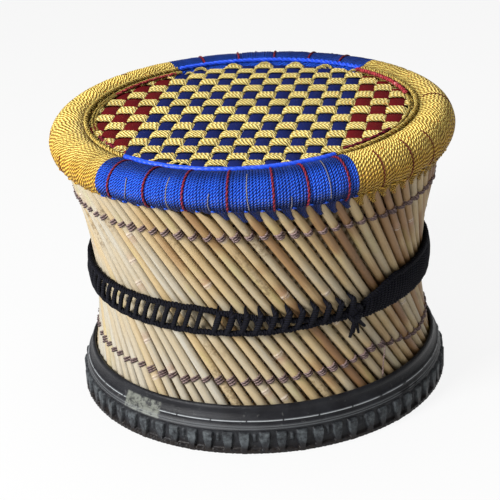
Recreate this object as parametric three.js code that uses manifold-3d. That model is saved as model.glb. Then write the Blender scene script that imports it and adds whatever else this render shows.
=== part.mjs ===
// A mudda stool. Two crossed layers of straight canes stand on a hoop inside a cut tyre and carry a
// rope-wound rim with a woven seat. Each layer leans the other way, so the canes draw in at the waist.
// Millimetres, +Z up, the origin at the centre of the floor, the front blue stretch of the rim at -Y.
import * as THREE from "three";
import { mergeVertices } from "three/addons/utils/BufferGeometryUtils.js";
import Module from "manifold-3d";

const wasm = await Module();
wasm.setup();

const { PI, cos, sin, asin, atan, atan2, hypot, sqrt, round, floor, min, max } = Math;
const FULL_TURN = 2 * PI;
const radians = THREE.MathUtils.degToRad;

// Overall
const STOOL_HEIGHT = 292;
const CLEARANCE = 0.35;
const CUT_OVERRUN = 6;

// Rim
const RIM_OUTER_RADIUS = 203;
const RIM_HALF_WIDTH = 21.5;
const RIM_HALF_HEIGHT = 22.5;
const RIM_STEPS = 8;
const CORE_SEGMENTS = 36;
const CORE_CLEARANCE = 1.4;
const BLUE_SPAN_DEGREES = 74;
const CREST_DROP = 7.4;
const CREST_DROP_DEGREES = -15.5;
const CREST_DROP_FOCUS = 3;

// Rope wound on the rim
const ROPE_LAYER = 3.4;
const WINDING_PITCH = 18;
const MOST_TURNS = 24;
const TURN_GAP = 0.7;
const WINDING_START_DEGREES = 180;

// Red tracer cords laid over the blue rope
const TRACER_WIDTH = 2.4;
const TRACER_THICKNESS = 1.3;
const TRACER_PLACES_DEGREES = [-45, 0, 45, 90, 118];
const FRONT_TRACER_DEGREES = [-32.6, -20.2, -9.5, 2.1, 14.2, 22.9, 34.2];
const REAR_TRACER_DEGREES = [154, 167, 180, 193, 206];

// Canes
const CANE_DIAMETER = 10.3;
const OUTER_CANE_PITCH = 10.3;
const INNER_CANE_PITCH = 8.6;
const WAIST_DRAW_IN = 33.5;
const WAIST_HEIGHT = 118;
const CANE_TOP_OUTSET = 3.8;
const CANE_FOOT_HEIGHT = 18;
const LAYER_GAP = 0.7;
const ROUND_CANE_SHARES = [
  [1, 0],
  [0.5, 1],
  [-0.6, 1],
  [-0.6, -1],
  [0.5, -1],
];
const SPLIT_CANE_SHARES = [
  [0.5, 1],
  [-0.5, 1],
  [-0.5, -1],
  [0.5, -1],
];
const SPLIT_CREST_SHARE = 0.55;
const SPLIT_VALLEY_SHARE = 0.12;
const PANELS = 12;
const PANEL_GAP = 0.6;
const CANE_JOIN = 0.13;

// Tyre
const TYRE_HEIGHT = 46.5;
const TYRE_WALL = 5;
const TYRE_LIP = 3.4;
const TYRE_CLEARANCE = 0.8;
const TYRE_SEGMENTS = 48;
const LUG_PAIRS = 33;
const LUG_DEPTH = 3.8;
const LUG_HEIGHT = 20;
const SHOULDER_RISE = 4;
const INNER_WALL_RISE = 2;
const NARROW_GROOVE = 6;
const WIDE_GROOVE = 10;
const GROOVE_RISE = 5;
const GROOVE_HEIGHT = 13;

// Base hoop
const HOOP_FLOOR_GAP = 1;
const HOOP_WIDTH = 22;
const HOOP_SEGMENTS = 36;

// Twine rows
const UPPER_TWINE_DROP = 25.5;
const LOWER_TWINE_RISE = 20.5;
const TWINE_RADIUS = 1.4;
const TWINE_WAVE = 1.4;
const TWINE_SIDES = 3;

// Waist band
const BAND_CORD_RADIUS = 2.6;
const RUNG_RADIUS = 2.1;
const LOWER_RAIL_RISE = 3;
const UPPER_RAIL_RISE = 27;
const MERGED_RAIL_RISE = 10.5;
const STRAP_HEIGHT = 29;
const STRAP_THICKNESS = 5;
const STRAP_EDGE = 1.3;
const LADDER_START_DEGREES = -76;
const MERGE_START_DEGREES = -10;
const MERGE_END_DEGREES = 27;
const KNOT_DEGREES = 40;
const KNOT_HALF_DEGREES = 2.8;
const RUNG_PITCH_DEGREES = 3.9;
const RUNG_SLANT_DEGREES = 3.5;
const BAND_STEP_DEGREES = 6;
const BAND_SIDES = 4;
const STRAP_TAPER_DEGREES = 14;
const STRAP_TAPER_SHARE = 0.45;
const KNOT_HEIGHT = 19;
const KNOT_DEPTH = 11;
const TAIL_LENGTHS = [27, 19];
const TAIL_SPREAD_DEGREES = 2.6;

// Seat
const SEAT_DROP = 6;
const COLUMN_PITCH = 17;
const ROW_PITCH = 25.2;
const ROW_SPREAD_SHARE = 1.225;
const WARP_WIDTH = 13.5;
const WARP_THICKNESS = 1.4;
const WEFT_FILL_SHARE = 0.86;
const WEFT_THICKNESS = 2.6;
const BLUE_FIELD_SHARE = 0.67;
const SELVEDGE_REACH = 1.5;
const WEFT_SELVEDGE = 4.7;
const WARP_SELVEDGE = 2.9;
const SELVEDGE_GAP = 0.4;
const SEAT_HOOP_RADIUS = 4.5;
const SEAT_HOOP_SIDES = 4;
const SEAT_SEGMENTS = 40;

// Cords round the seat
const PIPING_RADIUS = 2.5;
const PIPING_PLACE_DEGREES = 133;
const PIPING_STEP_DEGREES = 6;
const PIPING_END_GAP = 1;
const LACING_RADIUS = 1.3;
const CORD_SIDES = 5;
const REAR_RIGHT_LACING_DEGREES = [105, 143];
const FRONT_LEFT_LACING_DEGREES = [-59, -38];
const FRONT_RIGHT_LACING_DEGREES = [42, 65];

// Values worked out from the sizes above
const rimRadius = RIM_OUTER_RADIUS - RIM_HALF_WIDTH;
const rimHeight = STOOL_HEIGHT - RIM_HALF_HEIGHT;
const rimInnerRadius = rimRadius - RIM_HALF_WIDTH;
const caneTopHeight = rimHeight - RIM_HALF_HEIGHT - CLEARANCE;
const upperTwineHeight = caneTopHeight - UPPER_TWINE_DROP;
const lowerTwineHeight = TYRE_HEIGHT + LOWER_TWINE_RISE;
const seatTop = STOOL_HEIGHT - SEAT_DROP;
const weaveHeight = seatTop - WEFT_THICKNESS - CLEARANCE - WARP_THICKNESS / 2;
const weftSwing = (WEFT_THICKNESS + WARP_THICKNESS) / 2 + CLEARANCE;
const blueHalfSpan = radians(BLUE_SPAN_DEGREES / 2);

const materials = {
  blueRope: { color: 0x1f3fc4, roughness: 0.5 },
  goldRope: { color: 0xc99a35, roughness: 0.6 },
  redCord: { color: 0xa0252b, roughness: 0.7 },
  straw: { color: 0xb99a5d, roughness: 0.9 },
  outerCane: { color: 0xd6b478, roughness: 0.6 },
  innerCane: { color: 0xb08a52, roughness: 0.7 },
  twine: { color: 0x8d6a5e, roughness: 0.9 },
  navyCord: { color: 0x11142a, roughness: 0.8 },
  tyre: { color: 0x2a2c2e, roughness: 0.75 },
  hoopWood: { color: 0x9a7442, roughness: 0.8 },
  warpBlue: { color: 0x15246e, roughness: 0.8 },
  warpRed: { color: 0x7a1418, roughness: 0.8 },
  weftGold: { color: 0xdcc377, roughness: 0.7 },
};

const stool = new THREE.Group();

function addPart(name, geometry, look) {
  const material = new THREE.MeshStandardMaterial({ ...materials[look], metalness: 0 });
  const mesh = new THREE.Mesh(geometry, material);
  mesh.name = name;
  stool.add(mesh);
}

// A point at a plan angle from the front, counted towards +X
function around(angle, radius, height) {
  return new THREE.Vector3(radius * sin(angle), -radius * cos(angle), height);
}

function toSolid(geometry) {
  const bare = geometry.clone();
  bare.deleteAttribute("normal");
  bare.deleteAttribute("uv");
  const merged = mergeVertices(bare);
  return new wasm.Manifold(
    new wasm.Mesh({
      numProp: 3,
      vertProperties: new Float32Array(merged.attributes.position.array),
      triVerts: new Uint32Array(merged.index.array),
    }),
  );
}

function toGeometry(solid) {
  const mesh = solid.getMesh();
  const geometry = new THREE.BufferGeometry();
  geometry.setAttribute("position", new THREE.BufferAttribute(mesh.vertProperties, 3));
  geometry.setIndex(new THREE.BufferAttribute(mesh.triVerts, 1));
  return geometry;
}

function joined(geometries) {
  const [first, ...rest] = geometries.map(toSolid);
  return toGeometry(rest.reduce((whole, piece) => whole.add(piece), first));
}

// Six times the volume inside a mesh, below zero when its faces point in
function signedVolume(points, faces) {
  let volume = 0;
  for (const [a, b, c] of faces) {
    volume += points[a].dot(new THREE.Vector3().crossVectors(points[b], points[c]));
  }
  return volume;
}

// A closed body through a row of sections, each a ring of as many points, either capped or run round
function loft(rings, closed = false) {
  const sides = rings[0].length;
  const faces = [];
  const spans = closed ? rings.length : rings.length - 1;
  for (let ring = 0; ring < spans; ring += 1) {
    const next = (ring + 1) % rings.length;
    for (let side = 0; side < sides; side += 1) {
      const across = (side + 1) % sides;
      faces.push([ring * sides + side, ring * sides + across, next * sides + across]);
      faces.push([ring * sides + side, next * sides + across, next * sides + side]);
    }
  }
  if (!closed) {
    const last = (rings.length - 1) * sides;
    for (let side = 1; side < sides - 1; side += 1) {
      faces.push([0, side + 1, side]);
      faces.push([last, last + side, last + side + 1]);
    }
  }
  const points = rings.flat();
  const turned = signedVolume(points, faces) < 0 ? faces.map(([a, b, c]) => [a, c, b]) : faces;
  const geometry = new THREE.BufferGeometry().setFromPoints(points);
  geometry.setIndex(turned.flat());
  return geometry;
}

// A round section of a cord that runs round the stool, tilted to follow the cord's rise
function cordSection(angle, radius, height, cordRadius, sides, rise = 0) {
  const centre = around(angle, radius, height);
  const outward = around(angle, 1, 0);
  const up = new THREE.Vector3(0, 0, 1).addScaledVector(around(angle + PI / 2, 1, 0), -rise).normalize();
  return Array.from({ length: sides }, (_, side) => {
    const turn = (FULL_TURN * (side + 0.5)) / sides;
    return centre
      .clone()
      .addScaledVector(outward, cordRadius * cos(turn))
      .addScaledVector(up, cordRadius * sin(turn));
  });
}

function evenly(from, to, step) {
  const count = max(1, round(Math.abs(to - from) / step));
  return Array.from({ length: count + 1 }, (_, index) => from + ((to - from) * index) / count);
}

// A solid ring with the given section, listed as radius and height
function ring(section, segments) {
  const profile = [...section, section[0]].map(([radius, height]) => new THREE.Vector2(radius, height));
  const geometry = new THREE.LatheGeometry(profile, segments);
  geometry.rotateX(PI / 2);
  return facedOut(geometry);
}

// Faces of a lathed ring turned outwards whichever way its section was listed
function facedOut(geometry) {
  const bare = geometry.clone();
  bare.deleteAttribute("normal");
  bare.deleteAttribute("uv");
  const merged = mergeVertices(bare);
  const points = [];
  for (let index = 0; index < merged.attributes.position.count; index += 1) {
    points.push(new THREE.Vector3().fromBufferAttribute(merged.attributes.position, index));
  }
  const faces = [];
  for (let index = 0; index < merged.index.count; index += 3) {
    faces.push([0, 1, 2].map((corner) => merged.index.getX(index + corner)));
  }
  if (signedVolume(points, faces) < 0) {
    merged.setIndex(faces.flatMap(([a, b, c]) => [a, c, b]));
  }
  return merged;
}

// A point on the rim's oval section, sunk under its surface by the inset
function rimPoint(angle, place, inset) {
  const radius = rimRadius + (RIM_HALF_WIDTH - inset) * cos(place);
  const height = rimHeight + (RIM_HALF_HEIGHT - inset) * sin(place);
  return around(angle, radius, height);
}

// The rim is thinner towards the front left: its crest lies lower there and its underside stays level
function settled(geometry) {
  const places = geometry.attributes.position;
  for (let index = 0; index < places.count; index += 1) {
    const angle = atan2(places.getX(index), -places.getY(index));
    const nearness = (1 + cos(angle - radians(CREST_DROP_DEGREES))) / 2;
    const share = (places.getZ(index) - rimHeight + RIM_HALF_HEIGHT) / (2 * RIM_HALF_HEIGHT);
    places.setZ(index, places.getZ(index) - CREST_DROP * nearness ** CREST_DROP_FOCUS * share);
  }
  return geometry;
}

function rimCore() {
  const inset = ROPE_LAYER + CORE_CLEARANCE;
  const section = Array.from({ length: RIM_STEPS }, (_, step) => {
    const place = (FULL_TURN * step) / RIM_STEPS;
    const radius = rimRadius + (RIM_HALF_WIDTH - inset) * cos(place);
    return [radius, rimHeight + (RIM_HALF_HEIGHT - inset) * sin(place)];
  });
  return ring(section, CORE_SEGMENTS);
}

function ribbonSection(angle, place, halfAngle, outerInset, innerInset) {
  return [
    rimPoint(angle - halfAngle, place, outerInset),
    rimPoint(angle + halfAngle, place, outerInset),
    rimPoint(angle + halfAngle, place, innerInset),
    rimPoint(angle - halfAngle, place, innerInset),
  ];
}

// The straight lead of a wound ribbon, which leaves its end section square
function lead(angle, place, halfAngle, direction) {
  const outward = -RIM_HALF_WIDTH * sin(place);
  const up = RIM_HALF_HEIGHT * cos(place);
  const length = hypot(outward, up) / (direction * ROPE_LAYER);
  const step = around(angle, outward / length, up / length);
  return ribbonSection(angle, place, halfAngle, 0, ROPE_LAYER).map((point) => point.add(step));
}

// The least distance between parts of a winding that lie half a turn or more apart along it
function leastGap(rings) {
  let least = Infinity;
  for (let one = 0; one < rings.length; one += 1) {
    for (let other = one + RIM_STEPS / 2; other < rings.length; other += 1) {
      for (const point of rings[one]) {
        for (const against of rings[other]) {
          least = min(least, point.distanceTo(against));
        }
      }
    }
  }
  return least;
}

// One unbroken ribbon of rope wound round the rim between two plan angles. Its last turn ends where the
// next stretch of rope starts, one step further round the rim's section, so the rope covers the core.
function winding(name, from, to) {
  const gap = TURN_GAP / rimInnerRadius;
  const turns = min(MOST_TURNS, floor(((to - from) * rimRadius) / WINDING_PITCH));
  const pitch = (to - from) / turns;
  const halfAngle = (pitch - gap) / 2;
  const start = from - WINDING_PITCH / 2 / rimRadius;
  const angleAt = (step) => start + (pitch * step) / RIM_STEPS;
  const placeAt = (step) => radians(WINDING_START_DEGREES) + (FULL_TURN * step) / RIM_STEPS;
  const last = turns * RIM_STEPS;
  const rings = [];
  for (let step = 1; step <= last; step += 1) {
    rings.push(ribbonSection(angleAt(step), placeAt(step), halfAngle, 0, ROPE_LAYER));
  }
  console.log(`${name}: ${turns} turns, least gap ${leastGap(rings).toFixed(2)} mm`);
  const head = lead(angleAt(1), placeAt(1), halfAngle, -1);
  const tail = lead(angleAt(last), placeAt(last), halfAngle, 1);
  return loft([head, ...rings, tail]);
}

// A thin cord laid over the rope from the rim's outer side to the seat
function tracer(angle) {
  const bend = cos(PI / RIM_STEPS);
  const halfAngle = TRACER_WIDTH / 2 / rimRadius;
  const under = -CLEARANCE / bend;
  const over = under - TRACER_THICKNESS / bend;
  return loft(
    TRACER_PLACES_DEGREES.map((place) => ribbonSection(angle, radians(place), halfAngle, over, under)),
  );
}

// A layer of canes: its waist radius, its lean, and how its panels of canes are filled
function caneLayer(radius, topRadius, direction, canePitch, outlineShares) {
  const rise = caneTopHeight - WAIST_HEIGHT;
  const slope = sqrt(topRadius ** 2 - radius ** 2) / rise;
  const squeeze = cos(atan(slope));
  const panelArc = ((FULL_TURN * radius) / PANELS) * squeeze;
  const count = round(panelArc / canePitch);
  const spacing = (panelArc - PANEL_GAP - CANE_JOIN) / count;
  const halfWidth = (spacing + CANE_JOIN) / 2 / squeeze;
  const turn = spacing / squeeze / radius;
  return { radius, topRadius, slope: direction * slope, count, halfWidth, turn, outlineShares };
}

const outerLayer = caneLayer(
  RIM_OUTER_RADIUS - WAIST_DRAW_IN - CANE_DIAMETER / 2,
  rimRadius + CANE_TOP_OUTSET,
  -1,
  OUTER_CANE_PITCH,
  ROUND_CANE_SHARES,
);
const innerLayer = caneLayer(
  outerLayer.radius - CANE_DIAMETER - LAYER_GAP,
  outerLayer.topRadius - CANE_DIAMETER - LAYER_GAP,
  1,
  INNER_CANE_PITCH,
  SPLIT_CANE_SHARES,
);

// A cane's level section, with a flat facing each neighbour
function caneSection(layer) {
  return layer.outlineShares.map(([out, along]) => [(CANE_DIAMETER / 2) * out, layer.halfWidth * along]);
}

// A straight cane, sheared from a standing prism so that both of its ends are cut level
function cane(layer, angle) {
  const shape = new THREE.Shape(caneSection(layer).map(([x, y]) => new THREE.Vector2(x, y)));
  const length = caneTopHeight - CANE_FOOT_HEIGHT;
  const geometry = new THREE.ExtrudeGeometry(shape, { depth: length, bevelEnabled: false });
  geometry.translate(0, 0, CANE_FOOT_HEIGHT - WAIST_HEIGHT);
  geometry.applyMatrix4(new THREE.Matrix4().makeShear(0, 0, 0, 0, 0, layer.slope));
  geometry.translate(layer.radius, 0, WAIST_HEIGHT);
  geometry.rotateZ(angle - PI / 2);
  return geometry;
}

function panelAngles(layer, panel) {
  return Array.from({ length: layer.count }, (_, index) => {
    const place = index - (layer.count - 1) / 2;
    return (FULL_TURN * panel) / PANELS + place * layer.turn;
  });
}

// How far out a layer reaches at a height
function surfaceRadius(layer, height) {
  const along = layer.slope * (height - WAIST_HEIGHT);
  return max(...caneSection(layer).map(([x, y]) => hypot(layer.radius + x, y + along)));
}

// How far out a layer reaches anywhere between two heights
function surfaceBetween(layer, low, high) {
  return max(surfaceRadius(layer, low), surfaceRadius(layer, high));
}

function roundPanel(layer, panel) {
  return joined(panelAngles(layer, panel).map((angle) => cane(layer, angle)));
}

// Split canes side by side, drawn flat as one comb that is then bent round the stool and leant
function splitPanel(layer, panel) {
  const half = (layer.turn / 2) * layer.radius;
  const depth = CANE_DIAMETER;
  const middles = panelAngles(layer, panel).map((angle) => angle * layer.radius);
  const valleys = [middles[0] - half, ...middles.map((middle) => middle + half)];
  const outside = [new THREE.Vector2(depth * SPLIT_VALLEY_SHARE, valleys[0])];
  middles.forEach((middle, index) => {
    outside.push(new THREE.Vector2(depth / 2, middle - half * SPLIT_CREST_SHARE));
    outside.push(new THREE.Vector2(depth / 2, middle + half * SPLIT_CREST_SHARE));
    outside.push(new THREE.Vector2(depth * SPLIT_VALLEY_SHARE, valleys[index + 1]));
  });
  const inside = valleys.map((valley) => new THREE.Vector2(-depth / 2, valley)).reverse();
  const length = caneTopHeight - CANE_FOOT_HEIGHT;
  const geometry = new THREE.ExtrudeGeometry(new THREE.Shape([...outside, ...inside]), {
    depth: length,
    bevelEnabled: false,
  });
  const places = geometry.attributes.position;
  for (let index = 0; index < places.count; index += 1) {
    const angle = places.getY(index) / layer.radius;
    const height = places.getZ(index) + CANE_FOOT_HEIGHT;
    const leant = around(angle, layer.radius + places.getX(index), height);
    leant.add(around(angle + PI / 2, layer.slope * (height - WAIST_HEIGHT), 0));
    places.setXYZ(index, leant.x, leant.y, leant.z);
  }
  return joined([geometry]);
}

function canePanels(prefix, layer, panelShape, look) {
  for (let panel = 0; panel < PANELS; panel += 1) {
    addPart(`${prefix}_${String(panel + 1).padStart(2, "0")}`, panelShape(layer, panel), look);
  }
}

const tyreInnerRadius = surfaceRadius(outerLayer, CANE_FOOT_HEIGHT) + TYRE_CLEARANCE;
const tyreOuterRadius = tyreInnerRadius + TYRE_WALL + LUG_DEPTH;
const tyreLipRadius = surfaceRadius(outerLayer, TYRE_HEIGHT) + TYRE_CLEARANCE;

// A notch between two lugs, which stops short of the tyre's cut edge
function treadGroove(width, angle) {
  const reach = LUG_DEPTH + CUT_OVERRUN;
  const half = ((width / 2) * reach) / LUG_DEPTH;
  const notch = new THREE.Shape([
    new THREE.Vector2(0, 0),
    new THREE.Vector2(reach, -half),
    new THREE.Vector2(reach, half),
  ]);
  const groove = new THREE.ExtrudeGeometry(notch, { depth: GROOVE_HEIGHT, bevelEnabled: false });
  groove.translate(tyreOuterRadius - LUG_DEPTH, 0, GROOVE_RISE);
  groove.rotateZ(angle - PI / 2);
  return toSolid(groove);
}

function tyreBase() {
  const shoulder = LUG_HEIGHT + SHOULDER_RISE;
  const section = [
    [tyreInnerRadius, 0],
    [tyreOuterRadius, 0],
    [tyreOuterRadius, LUG_HEIGHT],
    [tyreOuterRadius - LUG_DEPTH, shoulder],
    [tyreLipRadius + TYRE_LIP, TYRE_HEIGHT - TYRE_LIP / 2],
    [tyreLipRadius, TYRE_HEIGHT],
    [tyreInnerRadius, LUG_HEIGHT + INNER_WALL_RISE],
  ];
  let tyre = toSolid(ring(section, TYRE_SEGMENTS));
  const turn = FULL_TURN / LUG_PAIRS;
  for (let pair = 0; pair < LUG_PAIRS; pair += 1) {
    tyre = tyre.subtract(treadGroove(NARROW_GROOVE, turn * pair));
    tyre = tyre.subtract(treadGroove(WIDE_GROOVE, turn * (pair + 0.5)));
  }
  return toGeometry(tyre);
}

function baseHoop() {
  const outer = tyreInnerRadius - TYRE_CLEARANCE;
  const top = CANE_FOOT_HEIGHT - CLEARANCE;
  return ring(
    [
      [outer - HOOP_WIDTH, HOOP_FLOOR_GAP],
      [outer, HOOP_FLOOR_GAP],
      [outer, top],
      [outer - HOOP_WIDTH, top],
    ],
    HOOP_SEGMENTS,
  );
}

// Twine that binds every outer cane, rising and falling from cane to cane
function twineRow(height) {
  const radius = surfaceRadius(outerLayer, height) + CLEARANCE + TWINE_RADIUS;
  const lag = atan((outerLayer.slope * (height - WAIST_HEIGHT)) / outerLayer.radius);
  const count = outerLayer.count * PANELS;
  const rings = Array.from({ length: count }, (_, index) => {
    const angle = lag + (FULL_TURN * index) / count;
    const wave = index % 2 ? TWINE_WAVE : -TWINE_WAVE;
    return cordSection(angle, radius, height + wave, TWINE_RADIUS, TWINE_SIDES);
  });
  return loft(rings, true);
}

const bandLow = WAIST_HEIGHT + LOWER_RAIL_RISE;
const bandHigh = WAIST_HEIGHT + UPPER_RAIL_RISE;
const bandRadius = surfaceBetween(outerLayer, bandLow, bandHigh) + CLEARANCE + BAND_CORD_RADIUS;
const ladderStart = radians(LADDER_START_DEGREES);
const ladderEnd = radians(KNOT_DEGREES - KNOT_HALF_DEGREES);

// The upper rail's height, which falls towards the knot once the rails begin to merge
function upperRailHeight(angle) {
  const from = radians(MERGE_START_DEGREES);
  const share = min(1, max(0, (angle - from) / (radians(MERGE_END_DEGREES) - from)));
  return bandHigh + (WAIST_HEIGHT + MERGED_RAIL_RISE - bandHigh) * share;
}

function rail(heightAt) {
  const angles = evenly(ladderStart, ladderEnd, radians(BAND_STEP_DEGREES));
  return loft(
    angles.map((angle) => cordSection(angle, bandRadius, heightAt(angle), BAND_CORD_RADIUS, BAND_SIDES)),
  );
}

// A short straight cord from one place on the waist to another
function bandStrut(fromAngle, fromHeight, toAngle, toHeight) {
  const run = (toAngle - fromAngle) * bandRadius;
  const rise = run / (toHeight - fromHeight);
  const ends = [
    [fromAngle, fromHeight],
    [toAngle, toHeight],
  ];
  return loft(
    ends.map(([angle, height]) => {
      const centre = around(angle, bandRadius, height);
      const outward = around(angle, 1, 0);
      const side = around(angle + PI / 2, 1, 0).addScaledVector(new THREE.Vector3(0, 0, 1), -rise).normalize();
      return Array.from({ length: BAND_SIDES }, (_, corner) => {
        const turn = (FULL_TURN * (corner + 0.5)) / BAND_SIDES;
        return centre
          .clone()
          .addScaledVector(outward, RUNG_RADIUS * cos(turn))
          .addScaledVector(side, RUNG_RADIUS * sin(turn));
      });
    }),
  );
}

function waistLadder() {
  const pieces = [rail(upperRailHeight), rail(() => bandLow)];
  const slant = radians(RUNG_SLANT_DEGREES);
  const pitch = radians(RUNG_PITCH_DEGREES);
  for (let angle = ladderStart + pitch / 2; angle + slant < ladderEnd; angle += pitch) {
    pieces.push(bandStrut(angle, bandLow, angle + slant, bandHigh));
  }
  return joined(pieces);
}

// The close-woven stretch of the band, narrowing towards the knot
function waistStrap() {
  const from = radians(KNOT_DEGREES + KNOT_HALF_DEGREES);
  const to = ladderStart + FULL_TURN - CLEARANCE / bandRadius;
  const low = (bandLow + bandHigh - STRAP_HEIGHT) / 2;
  const inner = surfaceBetween(outerLayer, low, low + STRAP_HEIGHT) + CLEARANCE;
  const outer = inner + STRAP_THICKNESS;
  const rings = evenly(from, to, radians(BAND_STEP_DEGREES)).map((angle) => {
    const along = min(1, (angle - from) / radians(STRAP_TAPER_DEGREES));
    const high = low + STRAP_HEIGHT * (STRAP_TAPER_SHARE + (1 - STRAP_TAPER_SHARE) * along);
    const section = [
      [inner, low],
      [outer - STRAP_EDGE, low],
      [outer, low + STRAP_EDGE],
      [outer, high - STRAP_EDGE],
      [outer - STRAP_EDGE, high],
      [inner, high],
    ];
    return section.map(([radius, height]) => around(angle, radius, height));
  });
  return loft(rings);
}

function waistKnot() {
  const angle = radians(KNOT_DEGREES);
  const middle = WAIST_HEIGHT + MERGED_RAIL_RISE - BAND_CORD_RADIUS;
  const surface = surfaceBetween(outerLayer, middle - KNOT_HEIGHT / 2, middle + KNOT_HEIGHT / 2);
  const lump = new THREE.IcosahedronGeometry(1, 1);
  const halfWidth = radians(KNOT_HALF_DEGREES) * surface - CLEARANCE;
  lump.scale(KNOT_DEPTH / 2, halfWidth, KNOT_HEIGHT / 2);
  lump.translate(surface + CLEARANCE + KNOT_DEPTH / 2, 0, middle);
  lump.rotateZ(angle - PI / 2);
  const pieces = [lump];
  TAIL_LENGTHS.forEach((length, index) => {
    const spread = radians(TAIL_SPREAD_DEGREES) * (index ? 1 : -1);
    pieces.push(bandStrut(angle, middle, angle + spread, middle - KNOT_HEIGHT / 2 - length));
  });
  return joined(pieces);
}

// The seat: how far the weave and its two selvedges reach, and how many columns and rows fill it
const selvedgeRadius = rimInnerRadius + SELVEDGE_REACH;
const weftRadius = selvedgeRadius - WARP_SELVEDGE - SELVEDGE_GAP;
const rowReach = weftRadius * ROW_SPREAD_SHARE;
const rowTurn = ROW_PITCH / rowReach;
const halfColumns = floor(weftRadius / COLUMN_PITCH);
const halfRows = floor(asin(weftRadius / rowReach) / rowTurn);
const halfBlueColumns = round(halfColumns * BLUE_FIELD_SHARE);

function seatDisc(radius) {
  const depth = 2 * (weftSwing + WEFT_THICKNESS + CUT_OVERRUN);
  const disc = new THREE.CylinderGeometry(radius, radius, depth, SEAT_SEGMENTS);
  disc.rotateX(PI / 2);
  disc.translate(0, 0, weaveHeight);
  return toSolid(disc);
}

// A gold strap that passes over and under the warp, down at both ends to its selvedge. The rows lie
// closer together and get narrower towards the front and the rear.
function weftRow(row) {
  const place = rowReach * sin(row * rowTurn);
  const halfWidth = (WEFT_FILL_SHARE * ROW_PITCH * cos(row * rowTurn)) / 2;
  const reach = sqrt(weftRadius ** 2 - place ** 2);
  const half = WARP_WIDTH / 2 + CLEARANCE;
  const between = COLUMN_PITCH - 2 * half;
  const crossings = [];
  for (let column = -halfColumns; column < halfColumns; column += 1) {
    const x = (column + 0.5) * COLUMN_PITCH;
    if (Math.abs(x) + half < reach) {
      const level = (row + column) % 2 ? -weftSwing : weftSwing;
      crossings.push([x - half, level], [x + half, level]);
    }
  }
  const edge = crossings[crossings.length - 1][0] + between;
  const path = [[-selvedgeRadius, -weftSwing], [-edge, -weftSwing], ...crossings];
  path.push([edge, -weftSwing], [selvedgeRadius, -weftSwing]);
  const low = weaveHeight - WEFT_THICKNESS / 2;
  const rings = path.map(([x, level]) => [
    new THREE.Vector3(x, place - halfWidth, low + level),
    new THREE.Vector3(x, place + halfWidth, low + level),
    new THREE.Vector3(x, place, low + level + WEFT_THICKNESS),
  ]);
  return toSolid(loft(rings));
}

function weft() {
  const low = weaveHeight - weftSwing - WEFT_THICKNESS / 2;
  const high = low + WEFT_THICKNESS;
  const inner = selvedgeRadius - WEFT_SELVEDGE;
  const selvedge = [
    [inner, low],
    [selvedgeRadius, low],
    [selvedgeRadius, high],
    [inner, high],
  ];
  let whole = toSolid(ring(selvedge, SEAT_SEGMENTS));
  const disc = seatDisc(weftRadius);
  for (let row = -halfRows; row <= halfRows; row += 1) {
    whole = whole.add(weftRow(row).intersect(disc));
  }
  return toGeometry(whole);
}

// Flat warp strips for the columns from one number up to another, joined beyond the weave's edge
function warp(firstColumn, endColumn) {
  const innerRadius = selvedgeRadius - WARP_SELVEDGE;
  const edges = [];
  for (let column = firstColumn; column < endColumn; column += 1) {
    const place = (column + 0.5) * COLUMN_PITCH;
    edges.push(place - WARP_WIDTH / 2, place + WARP_WIDTH / 2);
  }
  const onCircle = (x, radius, side) => new THREE.Vector2(x, side * sqrt(radius ** 2 - x ** 2));
  const front = edges.map((x) => onCircle(x, selvedgeRadius, -1));
  const rear = edges.map((x) => onCircle(x, selvedgeRadius, 1)).reverse();
  const shape = new THREE.Shape([...front, ...rear]);
  for (let index = 1; index < edges.length - 1; index += 2) {
    const sides = [edges[index], edges[index + 1]];
    const near = sides.map((x) => onCircle(x, innerRadius, -1));
    const far = sides.map((x) => onCircle(x, innerRadius, 1)).reverse();
    shape.holes.push(new THREE.Path([...near, ...far]));
  }
  const geometry = new THREE.ExtrudeGeometry(shape, { depth: WARP_THICKNESS, bevelEnabled: false });
  geometry.translate(0, 0, weaveHeight - WARP_THICKNESS / 2);
  return geometry;
}

// How far out the rim's inner side stands at a height above its middle
function rimInnerAt(height) {
  const facet = FULL_TURN / RIM_STEPS;
  const slope = (RIM_HALF_WIDTH * (1 - cos(facet))) / (RIM_HALF_HEIGHT * sin(facet));
  return rimInnerRadius + slope * (height - rimHeight);
}

// The hoop under the weave's edge, held between the weave and the rim's inner side
function seatHoop() {
  const height = weaveHeight - weftSwing - WEFT_THICKNESS / 2 - CLEARANCE - SEAT_HOOP_RADIUS;
  const radius = rimInnerAt(height) - 2 * CLEARANCE - SEAT_HOOP_RADIUS;
  const section = Array.from({ length: SEAT_HOOP_SIDES }, (_, step) => {
    const place = (FULL_TURN * step) / SEAT_HOOP_SIDES;
    return [radius + SEAT_HOOP_RADIUS * cos(place), height + SEAT_HOOP_RADIUS * sin(place)];
  });
  return ring(section, HOOP_SEGMENTS);
}

const pipingPlace = radians(PIPING_PLACE_DEGREES);
const pipingOffset = CLEARANCE + PIPING_RADIUS;
const pipingRadius = rimRadius + (RIM_HALF_WIDTH + pipingOffset) * cos(pipingPlace);
const pipingHeight = rimHeight + (RIM_HALF_HEIGHT + pipingOffset) * sin(pipingPlace);

// A cord that lies in a ring round the seat between two plan angles
function seatCord(from, to, radius, height, cordRadius) {
  const angles = evenly(from, to, radians(PIPING_STEP_DEGREES));
  return loft(angles.map((angle) => cordSection(angle, radius, height, cordRadius, CORD_SIDES)));
}

function piping(from, to) {
  const end = PIPING_END_GAP / 2 / pipingRadius;
  return seatCord(from + end, to - end, pipingRadius, pipingHeight, PIPING_RADIUS);
}

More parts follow.
